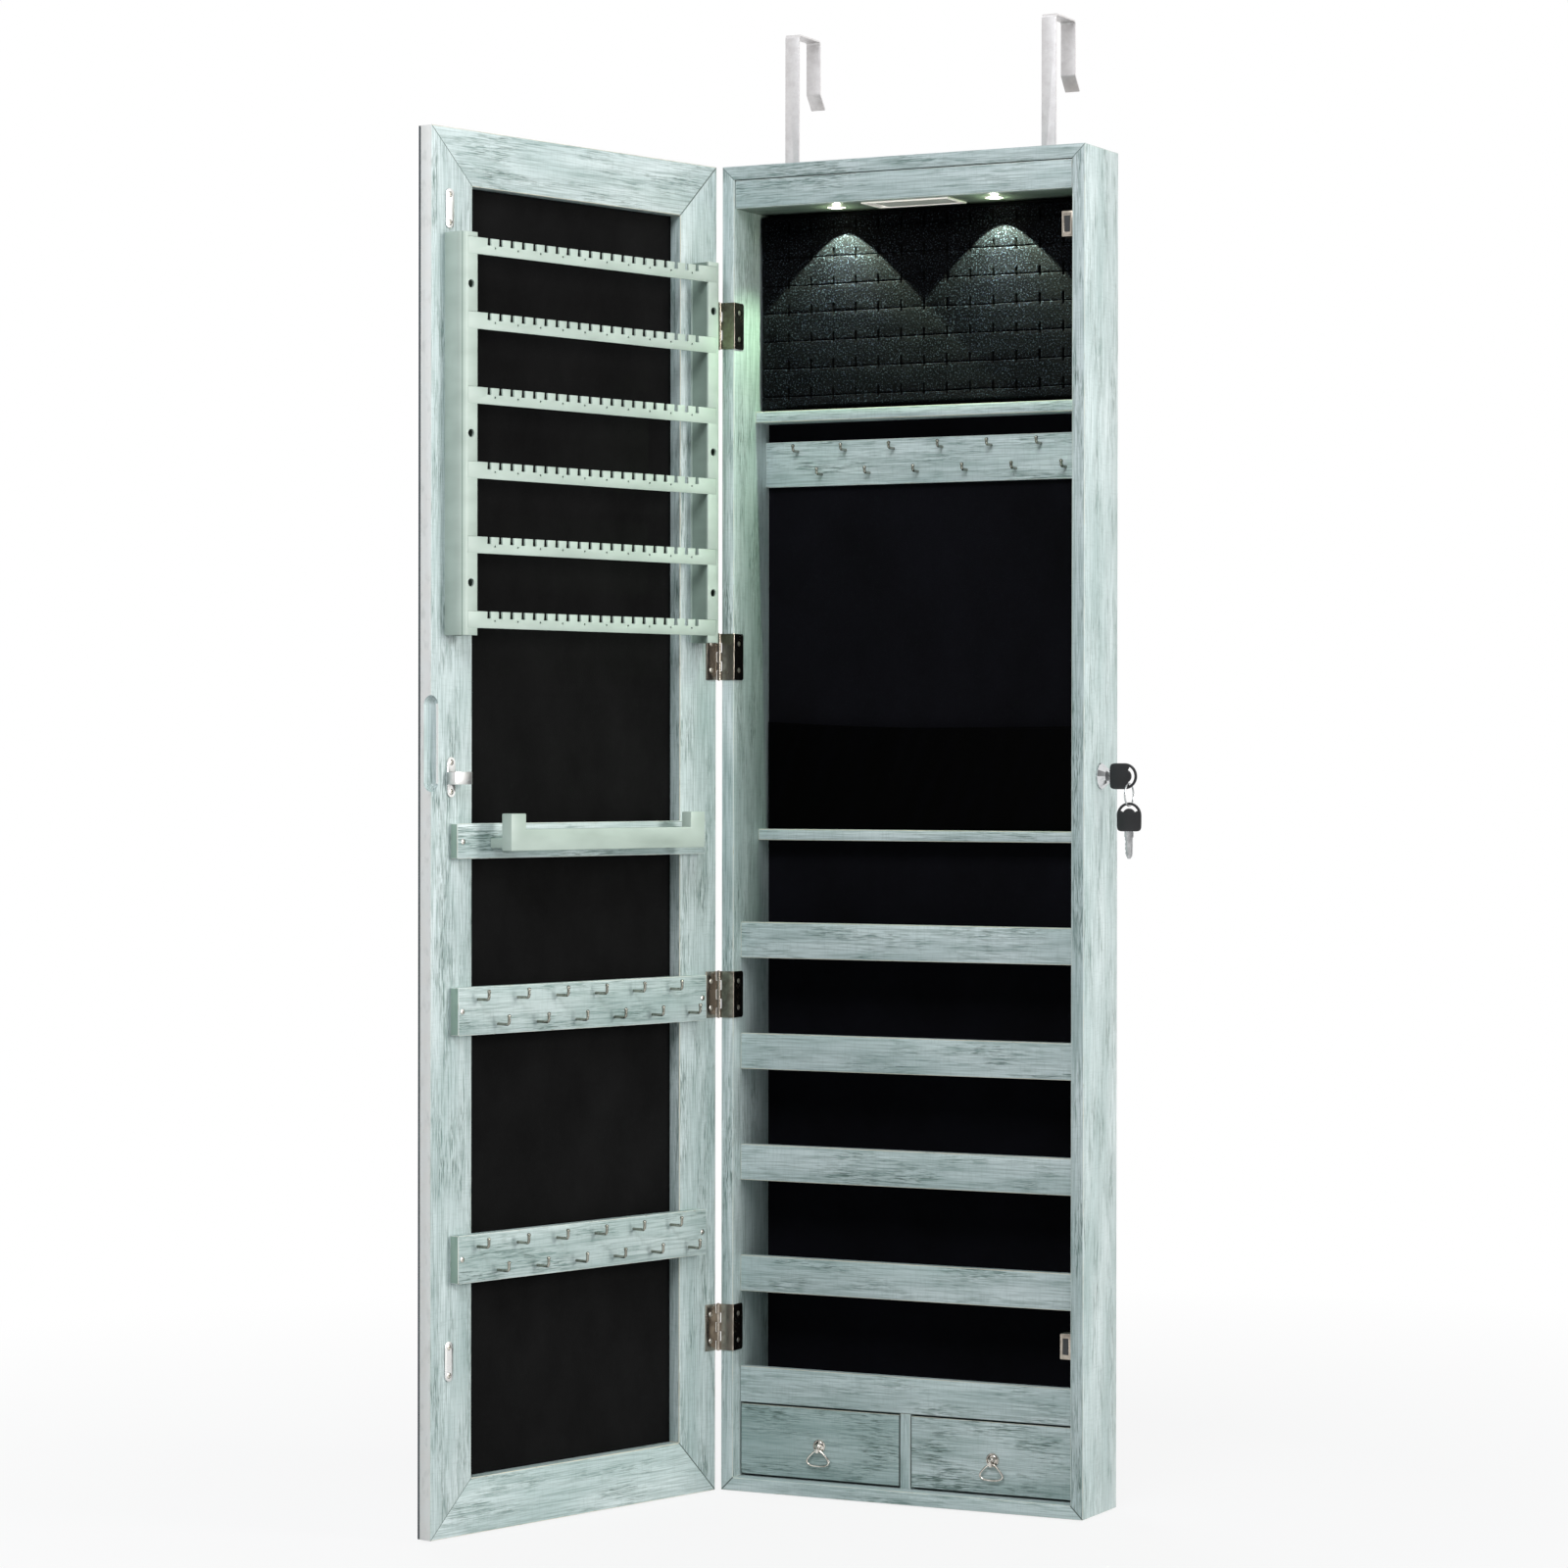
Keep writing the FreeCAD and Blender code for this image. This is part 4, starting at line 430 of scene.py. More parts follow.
# Zinc plate is paler and softer, chrome is the one sharp mirror, and pressed steel is a flat grey.
screwZinc = metal("brightZincScrew", {"body": "#E2DFD8", "shade": "#C9C5BC", "roughness": 0.3, "smear": 0.15})
strikeZinc = metal("zincPlatedSteel", {"body": "#E3E3E2", "shade": "#CFCFCC", "roughness": 0.26, "smear": 0.12})
lockChrome = metal("polishedChrome", {"body": "#DADCDD", "shade": "#C2C5C7", "roughness": 0.07, "smear": 0.06})
keySteel = metal("nickelKeyBlade", {"body": "#C9CACB", "shade": "#A6A7A8", "roughness": 0.18, "smear": 0.14})
catchSteel = metal("platedCatchFrame", {"body": "#BFB6AA", "shade": "#968D82", "roughness": 0.25, "smear": 0.12})
camSteel = metal("pressedCamSteel", {"body": "#BFC0BE", "shade": "#A3A4A1", "roughness": 0.3, "smear": 0.15})
# brushing lines 0.25 mm apart and 40 mm long, drawn coarser than the real 0.05 mm so that they show
strapSteel = metal("brushedStainlessStrap", {"body": "#DEDCDC", "shade": "#D0CDCD", "roughness": 0.5,
                                             "smear": 0.08}, (0.00025, 0.04, 0.04))


# Tempered hardboard, smooth brown with darker fibre flecks.
def hardboard(name):
    material, tree, shader = startMaterial(name, {"Roughness": 0.62, "IOR": 1.5})
    mottle = pattern(tree, (0.02, 0.02, 0.02), detail=4.0, rough=0.6)
    fleck = pattern(tree, (0.0022, 0.001, 0.0012), shift=(5, 1, 1), detail=2.0)
    share = addNode(tree, "MapRange", {0: mottle, 1: 0.35, 2: 0.7})
    ground = addNode(tree, "Mix", {0: share.outputs[0], 6: "#8E7355", 7: "#7B6147"}, data_type="RGBA")
    share = addNode(tree, "MapRange", {0: fleck, 1: 0.58, 2: 0.72, 4: 0.8})
    colour = addNode(tree, "Mix", {0: share.outputs[0], 6: ground.outputs[2], 7: "#5A4532"}, data_type="RGBA")
    tree.links.new(colour.outputs[2], shader.inputs["Base Color"])
    bump = addNode(tree, "Bump", {"Height": fleck, "Distance": 0.0002, "Strength": 0.4})
    tree.links.new(bump.outputs[0], shader.inputs["Normal"])
    return material


backBoard = hardboard("temperedHardboard")

# Silvered float glass: a clean mirror face, and a ground edge that looks deep blue-green.
mirrorSilver = metal("silveredGlass", {"body": "#EDF1F1", "shade": "#E9EEEE", "roughness": 0.012, "smear": 0.01})
glassEdge = mouldedPlastic("groundGlassEdge", {"body": "#1E2A33", "shade": "#2C3B44", "roughness": 0.22})

# Frosted polycarbonate over a lit chip: burnt out white with a faint lime cast.
ledLens = startMaterial("ledLens", {"Base Color": "#F4F6EC", "Roughness": 0.2, "Emission Color": "#F6FFE0",
                                    "Emission Strength": 26.0})[0]

print("boards")


def finishMesh(name, bm, materials, angle=35):
    mesh = bpy.data.meshes.new(name)
    bm.to_mesh(mesh)
    bm.free()
    if "custom_normal" in mesh.attributes:
        mesh.attributes.remove(mesh.attributes["custom_normal"])
    mesh.shade_smooth()
    mesh.set_sharp_from_angle(angle=math.radians(angle))
    for material in materials:
        mesh.materials.append(material)
    item = bpy.data.objects.new(name, mesh)
    bpy.context.scene.collection.objects.link(item)
    return item


def settle(item, body, slot, *stoodFor):
    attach(item, body)
    if stoodFor:
        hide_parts(*stoodFor)
    return item


def mergedCopy(node):
    bm = bmesh.new()
    bm.from_mesh(nodes[node].data)
    for face in bm.faces:
        face.material_index = 0
    bmesh.ops.remove_doubles(bm, verts=bm.verts, dist=2e-6)
    bmesh.ops.dissolve_limit(bm, angle_limit=math.radians(0.5), verts=bm.verts, edges=bm.edges)
    return bm


def easedCopy(node, width, shortest=0.0, segments=2, steep=30):
    # a merged copy of a CAD node with its arrises rounded, and the round faces put in slot 1
    bm = mergedCopy(node)
    sharp = [edge for edge in bm.edges if edge.is_manifold and edge.calc_length() > shortest
             and edge.calc_face_angle(0) > math.radians(steep)]
    made = bmesh.ops.bevel(bm, geom=sharp, offset=width, offset_type="OFFSET", affect="EDGES",
                           segments=segments, profile=0.5, material=-1, clamp_overlap=True)
    for face in made["faces"]:
        face.material_index = 1
    return bm


def roundEdges(bm, chosen, width, segments=4):
    bmesh.ops.bevel(bm, geom=[edge for edge in bm.edges if edge.is_manifold and chosen(edge)], offset=width,
                    offset_type="OFFSET", affect="EDGES", segments=segments, profile=0.5, material=-1,
                    clamp_overlap=True)


def markJoints(bm):
    # the rounded arrises that run down a mitre: the joint shows as a thin dark line
    for face in bm.faces:
        if face.material_index == 1:
            run = max(face.edges, key=lambda edge: edge.calc_length())
            way = (run.verts[1].co - run.verts[0].co).normalized()
            if 0.35 < abs(way.z) < 0.95:
                face.material_index = 2


def markFacing(bm, facing, index):
    for face in bm.faces:
        if face.material_index == 0 and face.normal.dot(facing) > 0.97:
            face.material_index = index


# name, CAD node, body, slot, foil, edge, how far the arris is eased in metres
boards = [
    ("leftSide", "left_side_board", "cabinet", "cabinet_board", sideFoil, paleEdge, 0.0006),
    ("rightSide", "right_side_board", "cabinet", "cabinet_board", sideFoil, paleEdge, 0.0006),
    ("topBoard", "top_board", "cabinet", "cabinet_board", acrossFoil, paleEdge, 0.0006),
    ("bottomBoard", "bottom_board", "cabinet", "cabinet_board", acrossFoil, paleEdge, 0.0006),
    ("valanceBoard", "valance", "cabinet", "cabinet_board", acrossFoil, paleEdge, 0.0005),
    ("soffitBoard", "light_soffit", "cabinet", "cabinet_board", paintedShadeSoffitFoil, creamEdge, 0.0003),
    ("upperShelf", "upper_shelf", "cabinet", "shelf_board", railFoil, creamEdge, 0.0006),
    ("middleShelf", "middle_shelf", "cabinet", "shelf_board", railFoil, creamEdge, 0.0006),
    ("necklaceBoard", "necklace_hook_board", "cabinet", "shelf_board", railFoil, paleEdge, 0.0005),
    ("guardRails", "guard_rails", "cabinet", "rail_board", railFoil, creamEdge, 0.0006),
    ("drawerRail", "drawer_rail", "cabinet", "rail_board", railFoil, creamEdge, 0.0004),
    ("bayFloors", "bay_floors", "cabinet", "shelf_board", railFoil, creamEdge, 0.0004),
    ("drawerDivider", "drawer_divider", "cabinet", "rail_board", sideFoil, paleEdge, 0.0003),
    ("leftDrawerFront", "left_drawer_front", "left_drawer", "drawer_board", paintedShadeDrawerFoil, creamEdge,
     0.0003),
    ("rightDrawerFront", "right_drawer_front", "right_drawer", "drawer_board", drawerFoil, creamEdge, 0.0003),
    ("hingeStile", "hinge_stile", "door", "door_board", doorFoilUp, creamEdge, 0.0006),
    ("freeStile", "free_stile", "door", "door_board", doorFoilUp, creamEdge, 0.0006),
    ("doorTopRail", "door_top_rail", "door", "door_board", doorFoilAcross, creamEdge, 0.0006),
    ("doorBottomRail", "door_bottom_rail", "door", "door_board", doorFoilAcross, creamEdge, 0.0006),
    ("braceletBase", "bracelet_base", "door", "door_board", doorFoilAcross, paleEdge, 0.0006),
    ("doorHookBoards", "door_hook_boards", "door", "door_board", hookBoardFoil, paleEdge, 0.0006),
]

doorAlong = swing.to_3x3() @ Vector((1, 0, 0))  # from the hinge to the free edge
for name, node, body, slot, foil, edge, width in boards:
    bm = easedCopy(node, width, 0.004)
    markJoints(bm)
    if name == "freeStile":
        markFacing(bm, doorAlong, 3)
    # the board ends toward the free edge: sage paint with painted shade
    if name in ("braceletBase", "doorHookBoards"):
        markFacing(bm, doorAlong, 4)
    # painted shade: the eased arrises that do not face up, on the drawer fronts and the rail
    if name.endswith("DrawerFront") or name == "drawerRail":
        for face in bm.faces:
            if face.material_index == 1 and face.normal.z < 0.3:
                face.material_index = 5
    # painted shade: the drawer fronts' top, bottom and end faces, which sit in the gaps
    if name.endswith("DrawerFront"):
        for facing in ((0, 0, 1), (0, 0, -1), (1, 0, 0), (-1, 0, 0)):
            markFacing(bm, Vector(facing), 5)
    settle(finishMesh(name, bm, [foil, edge, jointLine, edgeTape, sageEndAndShade, paintedShadeEdge]), body, slot, node)

print("plastic fittings")

# name, CAD node, body, slot, material, easing in metres, shortest edge eased
fittings = [
    ("braceletBar", "bracelet_bar", "door", "satin_plastic", sagePlastic, 0.0008, 0.002),
    ("batteryTray", "battery_tray", "cabinet", "silver_plastic", silverPlasticPaintedLight, 0.0005, 0.002),
    ("batteryCover", "battery_cover", "battery_lid", "silver_plastic", ribbedPlastic, 0.0002, 0.001),
    ("lampBezels", "lamp_bezels", "cabinet", "lamp_bezel", silverPlasticPaintedLight, 0.0003, 0.0003),
    ("strikePlates", "strike_plates", "door", "strike_steel", strikeZinc, 0.0003, 0.0004),
    ("latchBracket", "latch_bracket", "door", "strike_steel", strikeZinc, 0.0003, 0.0008),
    ("catchHousings", "catch_housings", "cabinet", "catch_metal", catchSteel, 0.0006, 0.002),
    ("overDoorStraps", "over_door_straps", "cabinet", "strap_steel", strapSteel, 0.0003, 0.0006),
    ("lockNut", "lock_nut", "cabinet", "lock_chrome", lockChrome, 0.0004, 0.002),
    ("lockCam", "lock_cam", "lock_core", "strike_steel", camSteel, 0.0003, 0.002),
    ("leftTray", "left_drawer_tray", "left_drawer", "drawer_tray", trayFlock, 0.0004, 0.004),
    ("rightTray", "right_drawer_tray", "right_drawer", "drawer_tray", trayFlock, 0.0004, 0.004),
]

for name, node, body, slot, material, width, shortest in fittings:
    settle(finishMesh(name, easedCopy(node, width, shortest), [material, material]), body, slot, node)

rack = {"top": 1.106, "pitch": 0.0635, "slotPitch": 0.25935 / 19, "slots": 20, "slotDeep": 0.0063, "near": 0.0019,
        "topWider": 1.25, "footWider": 1.5, "front": -0.0598, "foot": -0.0771, "edge": 0.1602,
        "wall": (0.1441, 0.1457), "low": 0.7682, "high": 1.1098,
        "holes": (0.1513, (0.8126, 0.9393, 1.066)), "holeReach": 0.0032, "holeWider": 1.18}


def addEarringRack(spec):
    # in the closed door's frame: the channel's inside takes a darker sage as painted shade, and each slot widens to
    # its foot
    bm = easedCopy("earring_posts", 0.0003, 0.0015)
    bmesh.ops.transform(bm, matrix=swing.inverted(), verts=bm.verts)
    for face in bm.faces:
        middle = face.calc_center_median()
        if spec["foot"] < middle.y < spec["front"] and abs(middle.x) < spec["edge"]:
            face.material_index = 2
    across, heights = spec["holes"]
    for vert in bm.verts:
        # the driver holes, opened to the width in the photo
        middle = Vector((math.copysign(across, vert.co.x), vert.co.y,
                         min(heights, key=lambda height: abs(height - vert.co.z))))
        if vert.co.y > spec["front"] - 0.0005 and (vert.co - middle).length < spec["holeReach"]:
            vert.co = middle + (vert.co - middle) * spec["holeWider"]
    for side in (-1, 1):
        # the inner wall that closes each post, in the darker sage of painted shade
        wall = bmesh.ops.create_cube(bm, size=1.0)["verts"]
        near, far = spec["wall"]
        bmesh.ops.scale(bm, vec=(far - near, spec["front"] - 0.0001 - spec["foot"], spec["high"] - spec["low"]),
                        verts=wall)
        bmesh.ops.translate(bm, vec=(side * (near + far) / 2, (spec["front"] - 0.0001 + spec["foot"]) / 2,
                                     (spec["low"] + spec["high"]) / 2), verts=wall)
        for face in {face for vert in wall for face in vert.link_faces}:
            face.material_index = 2
    bmesh.ops.transform(bm, matrix=swing, verts=bm.verts)
    settle(finishMesh("earringPosts", bm, [sagePlastic, sagePlastic, paintedShadePlastic]), "door", "satin_plastic",
           "earring_posts")
    bm = easedCopy("earring_bars", 0.0002, 0.0015)
    bmesh.ops.transform(bm, matrix=swing.inverted(), verts=bm.verts)
    for vert in bm.verts:
        slot = round(vert.co.x / spec["slotPitch"] + (spec["slots"] - 1) / 2)
        middle = (min(max(slot, 0), spec["slots"] - 1) - (spec["slots"] - 1) / 2) * spec["slotPitch"]
        below = (spec["top"] - vert.co.z) % spec["pitch"]
        if below > spec["pitch"] - 0.0005:
            below = 0.0
        if abs(vert.co.x - middle) < spec["near"] and below < spec["slotDeep"]:
            wider = spec["topWider"] + (spec["footWider"] - spec["topWider"]) * below / spec["slotDeep"]
            vert.co.x = middle + (vert.co.x - middle) * wider
    bmesh.ops.transform(bm, matrix=swing, verts=bm.verts)
    settle(finishMesh("earringBars", bm, [sagePlastic, sagePlastic]), "door", "satin_plastic", "earring_bars")


addEarringRack(rack)

kept = {"back_panel": backBoard, "catch_magnets": magnetGrey, "battery_cells": canPaint,
        "necklace_hooks": hookNickel, "door_hooks": hookNickel, "hinge_pins": hingeNickel,
        "key_ring": keySteel, "lock_plug": lockChrome}
for node, material in kept.items():
    nodes[node].data.materials.clear()
    nodes[node].data.materials.append(material)

print("hinges and screws")

hinge = {"bend": 0.0009, "corner": 0.0028, "bendX": -0.165, "bendY": -0.0765, "tall": 0.03,
         "innerEdge": -0.0587, "near": 0.0002}


def addHingeLeaves(spec):
    bm = mergedCopy("hinge_frame_leaves")

    def onBend(edge):
        one, two = [vert.co for vert in edge.verts]
        return (abs(one.z - two.z) > spec["tall"] and abs(one.x - spec["bendX"]) < spec["near"]
                and one.y < spec["bendY"] and edge.calc_face_angle(0) > 0.8)

    def onCorner(edge):
        one, two = [vert.co for vert in edge.verts]
        return (abs(one.y - spec["innerEdge"]) < spec["near"] and abs(one.x - two.x) > 5e-4
                and abs(one.z - two.z) < 1e-5)

    roundEdges(bm, onBend, spec["bend"], 5)
    roundEdges(bm, onCorner, spec["corner"], 6)
    settle(finishMesh("frameLeaves", bm, [hingeNickel], 28), "cabinet", "hinge_nickel", "hinge_frame_leaves")
    bm = easedCopy("hinge_door_leaves", 0.00015, 0.0012)
    settle(finishMesh("doorLeaves", bm, [hingeNickel, hingeNickel], 28), "door", "hinge_nickel",
           "hinge_door_leaves")


addHingeLeaves(hinge)

screw = {"head": 0.0024, "dome": 0.0008, "skirt": 0.0014, "shank": 0.0011, "recess": 0.0030,
         "slot": 0.00062, "deep": 0.0011,
         "crown": [(0.0, 0.0), (0.35, -0.03), (0.68, -0.16), (0.9, -0.42), (1.0, -1.0)]}


def makeScrewHead(spec):
    # pan head about +Z with its top at z 0, and a cross recess cut into it
    bm = bmesh.new()
    row = [bm.verts.new((spec["head"] * out, 0, spec["dome"] * drop)) for out, drop in spec["crown"]]
    row.append(bm.verts.new((spec["head"], 0, -spec["skirt"])))
    row.append(bm.verts.new((0, 0, -spec["skirt"])))
    edges = [bm.edges.new(pair) for pair in zip(row, row[1:])]
    bmesh.ops.spin(bm, geom=row + edges, cent=(0, 0, 0), axis=(0, 0, 1), angle=math.tau, steps=24, use_merge=True)
    bmesh.ops.remove_doubles(bm, verts=bm.verts, dist=1e-6)
    bmesh.ops.recalc_face_normals(bm, faces=bm.faces)
    head = finishMesh("screwHead", bm, [])
    bm = bmesh.new()
    for turn in (0, 90):
        made = bmesh.ops.create_cube(bm, size=1.0)["verts"]
        bmesh.ops.scale(bm, vec=(spec["recess"], spec["slot"], spec["deep"] * 2), verts=made)
        bmesh.ops.rotate(bm, cent=(0, 0, 0), matrix=Matrix.Rotation(math.radians(turn), 3, "Z"), verts=made)
    cutter = finishMesh("screwRecess", bm, [])
    carve = head.modifiers.new("recess", "BOOLEAN")
    carve.object = cutter
    carve.solver = "EXACT"
    carve.use_self = True
    bpy.context.view_layer.update()
    mesh = bpy.data.meshes.new_from_object(head.evaluated_get(bpy.context.evaluated_depsgraph_get()))
    for item in (head, cutter):
        bpy.data.objects.remove(item)
    return mesh


def islands(bm):
    left = set(bm.verts)
    while left:
        group, edge = set(), [left.pop()]
        while edge:
            vert = edge.pop()
            group.add(vert)
            for link in vert.link_edges:
                other = link.other_vert(vert)
                if other in left:
                    left.remove(other)
                    edge.append(other)
        yield [vert.co.copy() for vert in group]


def addScrews(name, node, body, home, head, spec):
    # home takes the screws to where their axes lie along x or y, heads at the positive end
    source = mergedCopy(node)
    bmesh.ops.transform(source, matrix=home.inverted(), verts=source.verts)
    bm = bmesh.new()
    # in order of their low corners, so that each head is turned the same way in every run
    groups = sorted(islands(source), key=lambda group: [min(point[axis] for point in group) for axis in range(3)])
    for count, points in enumerate(groups):
        low = Vector([min(point[axis] for point in points) for axis in range(3)])
        high = Vector([max(point[axis] for point in points) for axis in range(3)])
        middle, span = (low + high) / 2, high - low
        axis = 0 if span.x > span.y else 1
        top = middle.copy()
        top[axis] = high[axis]
        turn = Vector((0, 0, 1)).rotation_difference(Vector([float(axis == 0), float(axis == 1), 0])).to_matrix()
        spin = Matrix.Rotation(count * 1.13, 3, "Z")
        place = Matrix.Translation(top) @ (turn @ spin).to_4x4()
        old = set(bm.verts)
        bm.from_mesh(head)
        bmesh.ops.transform(bm, matrix=place, verts=[vert for vert in bm.verts if vert not in old])
        long = span[axis] - spec["skirt"]
        shank = bmesh.ops.create_cone(bm, cap_ends=True, segments=12, radius1=spec["shank"] * 0.5,
                                      radius2=spec["shank"], depth=long)["verts"]
        bmesh.ops.translate(bm, vec=(0, 0, -spec["skirt"] - long / 2), verts=shank)
        bmesh.ops.transform(bm, matrix=place, verts=shank)
    source.free()
    bmesh.ops.transform(bm, matrix=home, verts=bm.verts)
    settle(finishMesh(name, bm, [screwZinc]), body, "screw_metal", node)


screwHead = makeScrewHead(screw)
addScrews("cabinetScrews", "cabinet_screws", "cabinet", Matrix.Identity(4), screwHead, screw)
addScrews("doorScrews", "door_screws", "door", swing, screwHead, screw)

print("drawer pulls")

pull = {"rim": [(6.2, 0.0), (6.2, 0.8), (5.8, 1.4), (5.2, 1.6), (4.7, 1.3), (4.3, 0.8), (2.9, 0.7), (2.6, 1.5),
                (2.5, 2.6), (1.9, 3.5), (1.0, 4.1), (0.0, 4.3)], "high": 0.044, "face": -0.0613,
        "groove": (0.0029, 0.0045), "pivot": (-0.0647, 0.0406), "wire": 0.00098,
        "loop": [(-2.4, 0.0), (2.4, 0.0), (8.2, -5.4), (11.6, -10.0), (9.4, -13.0), (4.8, -14.3), (-4.8, -14.3),
                 (-9.4, -13.0), (-11.6, -10.0), (-8.2, -5.4)]}


def wireAlong(points, radius, closed=False):
    # round wire on a smooth line that the points pull into shape
    curve = bpy.data.curves.new("wireLine", "CURVE")
    curve.dimensions = "3D"
    spline = curve.splines.new("NURBS")
    spline.points.add(len(points) - 1)
    for made, point in zip(spline.points, points):
        made.co = (*point, 1)
    spline.order_u = 3
    spline.use_cyclic_u = closed
    spline.use_endpoint_u = not closed
    spline.resolution_u = 8
    curve.bevel_depth = radius
    curve.bevel_resolution = 3
    curve.use_fill_caps = not closed
    tube = bpy.data.objects.new("wireLine", curve)
    bpy.context.scene.collection.objects.link(tube)
    bpy.context.view_layer.update()
    bm = bmesh.new()
    bm.from_mesh(bpy.data.meshes.new_from_object(tube.evaluated_get(bpy.context.evaluated_depsgraph_get())))
    bpy.data.objects.remove(tube)
    bmesh.ops.remove_doubles(bm, verts=bm.verts, dist=1e-6)
    bmesh.ops.recalc_face_normals(bm, faces=bm.faces)
    return bm


def addPull(side, spec):
    bm = easedCopy(f"{side}_pull_rosette", 0.0004, 0.0008)
    low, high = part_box(f"{side}_pull_rosette")
    row = [bm.verts.new((out / 1000, 0, up / 1000)) for out, up in spec["rim"]]
    edges = [bm.edges.new(pair) for pair in zip(row, row[1:])]
    old = set(bm.verts) - set(row)
    bmesh.ops.spin(bm, geom=row + edges, cent=(0, 0, 0), axis=(0, 0, 1), angle=math.tau, steps=40, use_merge=True)
    fresh = [vert for vert in bm.verts if vert not in old]
    place = Matrix.Translation(((low[0] + high[0]) / 2, spec["face"], spec["high"])) \
        @ Matrix.Rotation(math.pi / 2, 4, "X")
    bmesh.ops.transform(bm, matrix=place, verts=fresh)
    middle = Vector(((low[0] + high[0]) / 2, spec["face"], spec["high"]))
    for face in {face for vert in fresh for face in vert.link_faces}:
        out = face.calc_center_median() - middle
        if spec["groove"][0] < math.hypot(out.x, out.z) < spec["groove"][1]:
            face.material_index = 2
    bmesh.ops.remove_doubles(bm, verts=fresh, dist=1e-6)
    bmesh.ops.recalc_face_normals(bm, faces=bm.faces)
    settle(finishMesh(f"{side}Rosette", bm, [pullNickel, pullNickel, darkNickel]), f"{side}_drawer", "pull_metal",
           f"{side}_pull_rosette")
    loop = [(middle.x + x / 1000, spec["pivot"][0], spec["pivot"][1] + z / 1000) for x, z in spec["loop"]]
    ring = finishMesh(f"{side}PullRing", wireAlong(loop, spec["wire"], closed=True), [pullNickel], 60)
    settle(ring, f"{side}_pull", "pull_metal", f"{side}_pull_ring")


for side in ("left", "right"):
    addPull(side, pull)

print("lock and keys")

lock = {"place": (0.178, -0.0376, 0.6487), "facets": 12,
        "bezel": [(11.5, 0.0), (11.5, 1.0), (10.9, 1.9), (7.4, 6.4), (6.9, 6.9), (6.1, 6.9), (5.9, 6.2)]}


def addLock(spec):
    bm = easedCopy("lock_barrel", 0.0003, 0.002)
    bmesh.ops.bisect_plane(bm, geom=[*bm.verts, *bm.edges, *bm.faces], plane_co=spec["place"],
                           plane_no=(1, 0, 0), clear_outer=True)
    old = set(bm.verts)
    row = [bm.verts.new((out / 1000, 0, up / 1000)) for out, up in spec["bezel"]]
    edges = [bm.edges.new(pair) for pair in zip(row, row[1:])]
    bmesh.ops.spin(bm, geom=row + edges, cent=(0, 0, 0), axis=(0, 0, 1), angle=math.tau, steps=spec["facets"],
                   use_merge=True)
    fresh = [vert for vert in bm.verts if vert not in old]
    bmesh.ops.transform(bm, matrix=Matrix.Translation(spec["place"]) @ Matrix.Rotation(math.pi / 2, 4, "Y"),
                        verts=fresh)
    bmesh.ops.recalc_face_normals(bm, faces=bm.faces)
    settle(finishMesh("lockBarrel", bm, [lockChrome, lockChrome], 18), "cabinet", "lock_chrome", "lock_barrel")


addLock(lock)

key = {"doorAt": (0.2006, -0.0376, 0.6487), "round": 0.0114, "straight": 0.014, "thick": 0.0022,
       "slot": (0.0061, 0.0092, 62), "soft": 0.0005, "bladeThick": 0.0018, "bladeSoft": 0.0003,
       "blade": [(-13, 4.2), (-18.5, 4.2), (-19.5, 3.5), (-21, 3.7), (-23, 3.0), (-25, 3.6), (-27, 3.1),
                 (-29, 3.6), (-31, 2.9), (-33, 3.3), (-35.5, 2.4), (-38, 1.0), (-38, -1.0), (-36, -2.6),
                 (-33, -3.2), (-20, -3.4), (-18.5, -4.2), (-13, -4.2)]}


def flatShape(loops, thick, soft, materials, name, place):
    # a plate in the xz plane from closed outlines, the first outside and the rest its openings
    bm = bmesh.new()
    edges = []
    for loop in loops:
        verts = [bm.verts.new((x, 0, z)) for x, z in loop]
        edges += [bm.edges.new((vert, verts[count - 1])) for count, vert in enumerate(verts)]
    faces = [item for item in bmesh.ops.triangle_fill(bm, use_beauty=True, use_dissolve=True, edges=edges)["geom"]
             if isinstance(item, bmesh.types.BMFace)]
    bmesh.ops.translate(bm, vec=(0, -thick / 2, 0), verts=bm.verts)
    made = bmesh.ops.extrude_face_region(bm, geom=faces)["geom"]
    bmesh.ops.translate(bm, vec=(0, thick, 0), verts=[item for item in made if isinstance(item, bmesh.types.BMVert)])
    bmesh.ops.recalc_face_normals(bm, faces=bm.faces)
    rim = [edge for edge in bm.edges if edge.is_manifold and edge.calc_face_angle(0) > 0.9
           and abs(edge.verts[0].co.y - edge.verts[1].co.y) < 1e-6]
    bmesh.ops.bevel(bm, geom=rim, offset=soft, offset_type="OFFSET", affect="EDGES", segments=3, profile=0.5,
                    material=-1, clamp_overlap=True)
    bmesh.ops.transform(bm, matrix=place, verts=bm.verts)
    return finishMesh(name, bm, materials)


def addKey(name, node, body, place, spec):
    outline = []
    for count in range(64):
        angle = math.tau * count / 64
        across, up = math.cos(angle), math.sin(angle)
        if across < 0:
            squared = [math.copysign(abs(value) ** 0.28, value) for value in (across, up)]
            outline.append((spec["straight"] * squared[0], spec["round"] * squared[1]))
        else:
            outline.append((spec["round"] * across, spec["round"] * up))
    near, far, half = spec["slot"]
    sweep = [math.radians(half) * (count / 9 - 1) for count in range(19)]
    slot = [(far * math.cos(angle), far * math.sin(angle)) for angle in sweep]
    slot += [(near * math.cos(angle), near * math.sin(angle)) for angle in reversed(sweep)]
    head = flatShape([outline, slot], spec["thick"], spec["soft"], [keyPlastic], name + "Head", place)
    settle(head, body, "key_nickel", node)
    blade = flatShape([[(x / 1000, z / 1000) for x, z in spec["blade"]]], spec["bladeThick"],
                      spec["bladeSoft"], [keySteel], name + "Blade", place)
    settle(blade, body, "key_nickel")


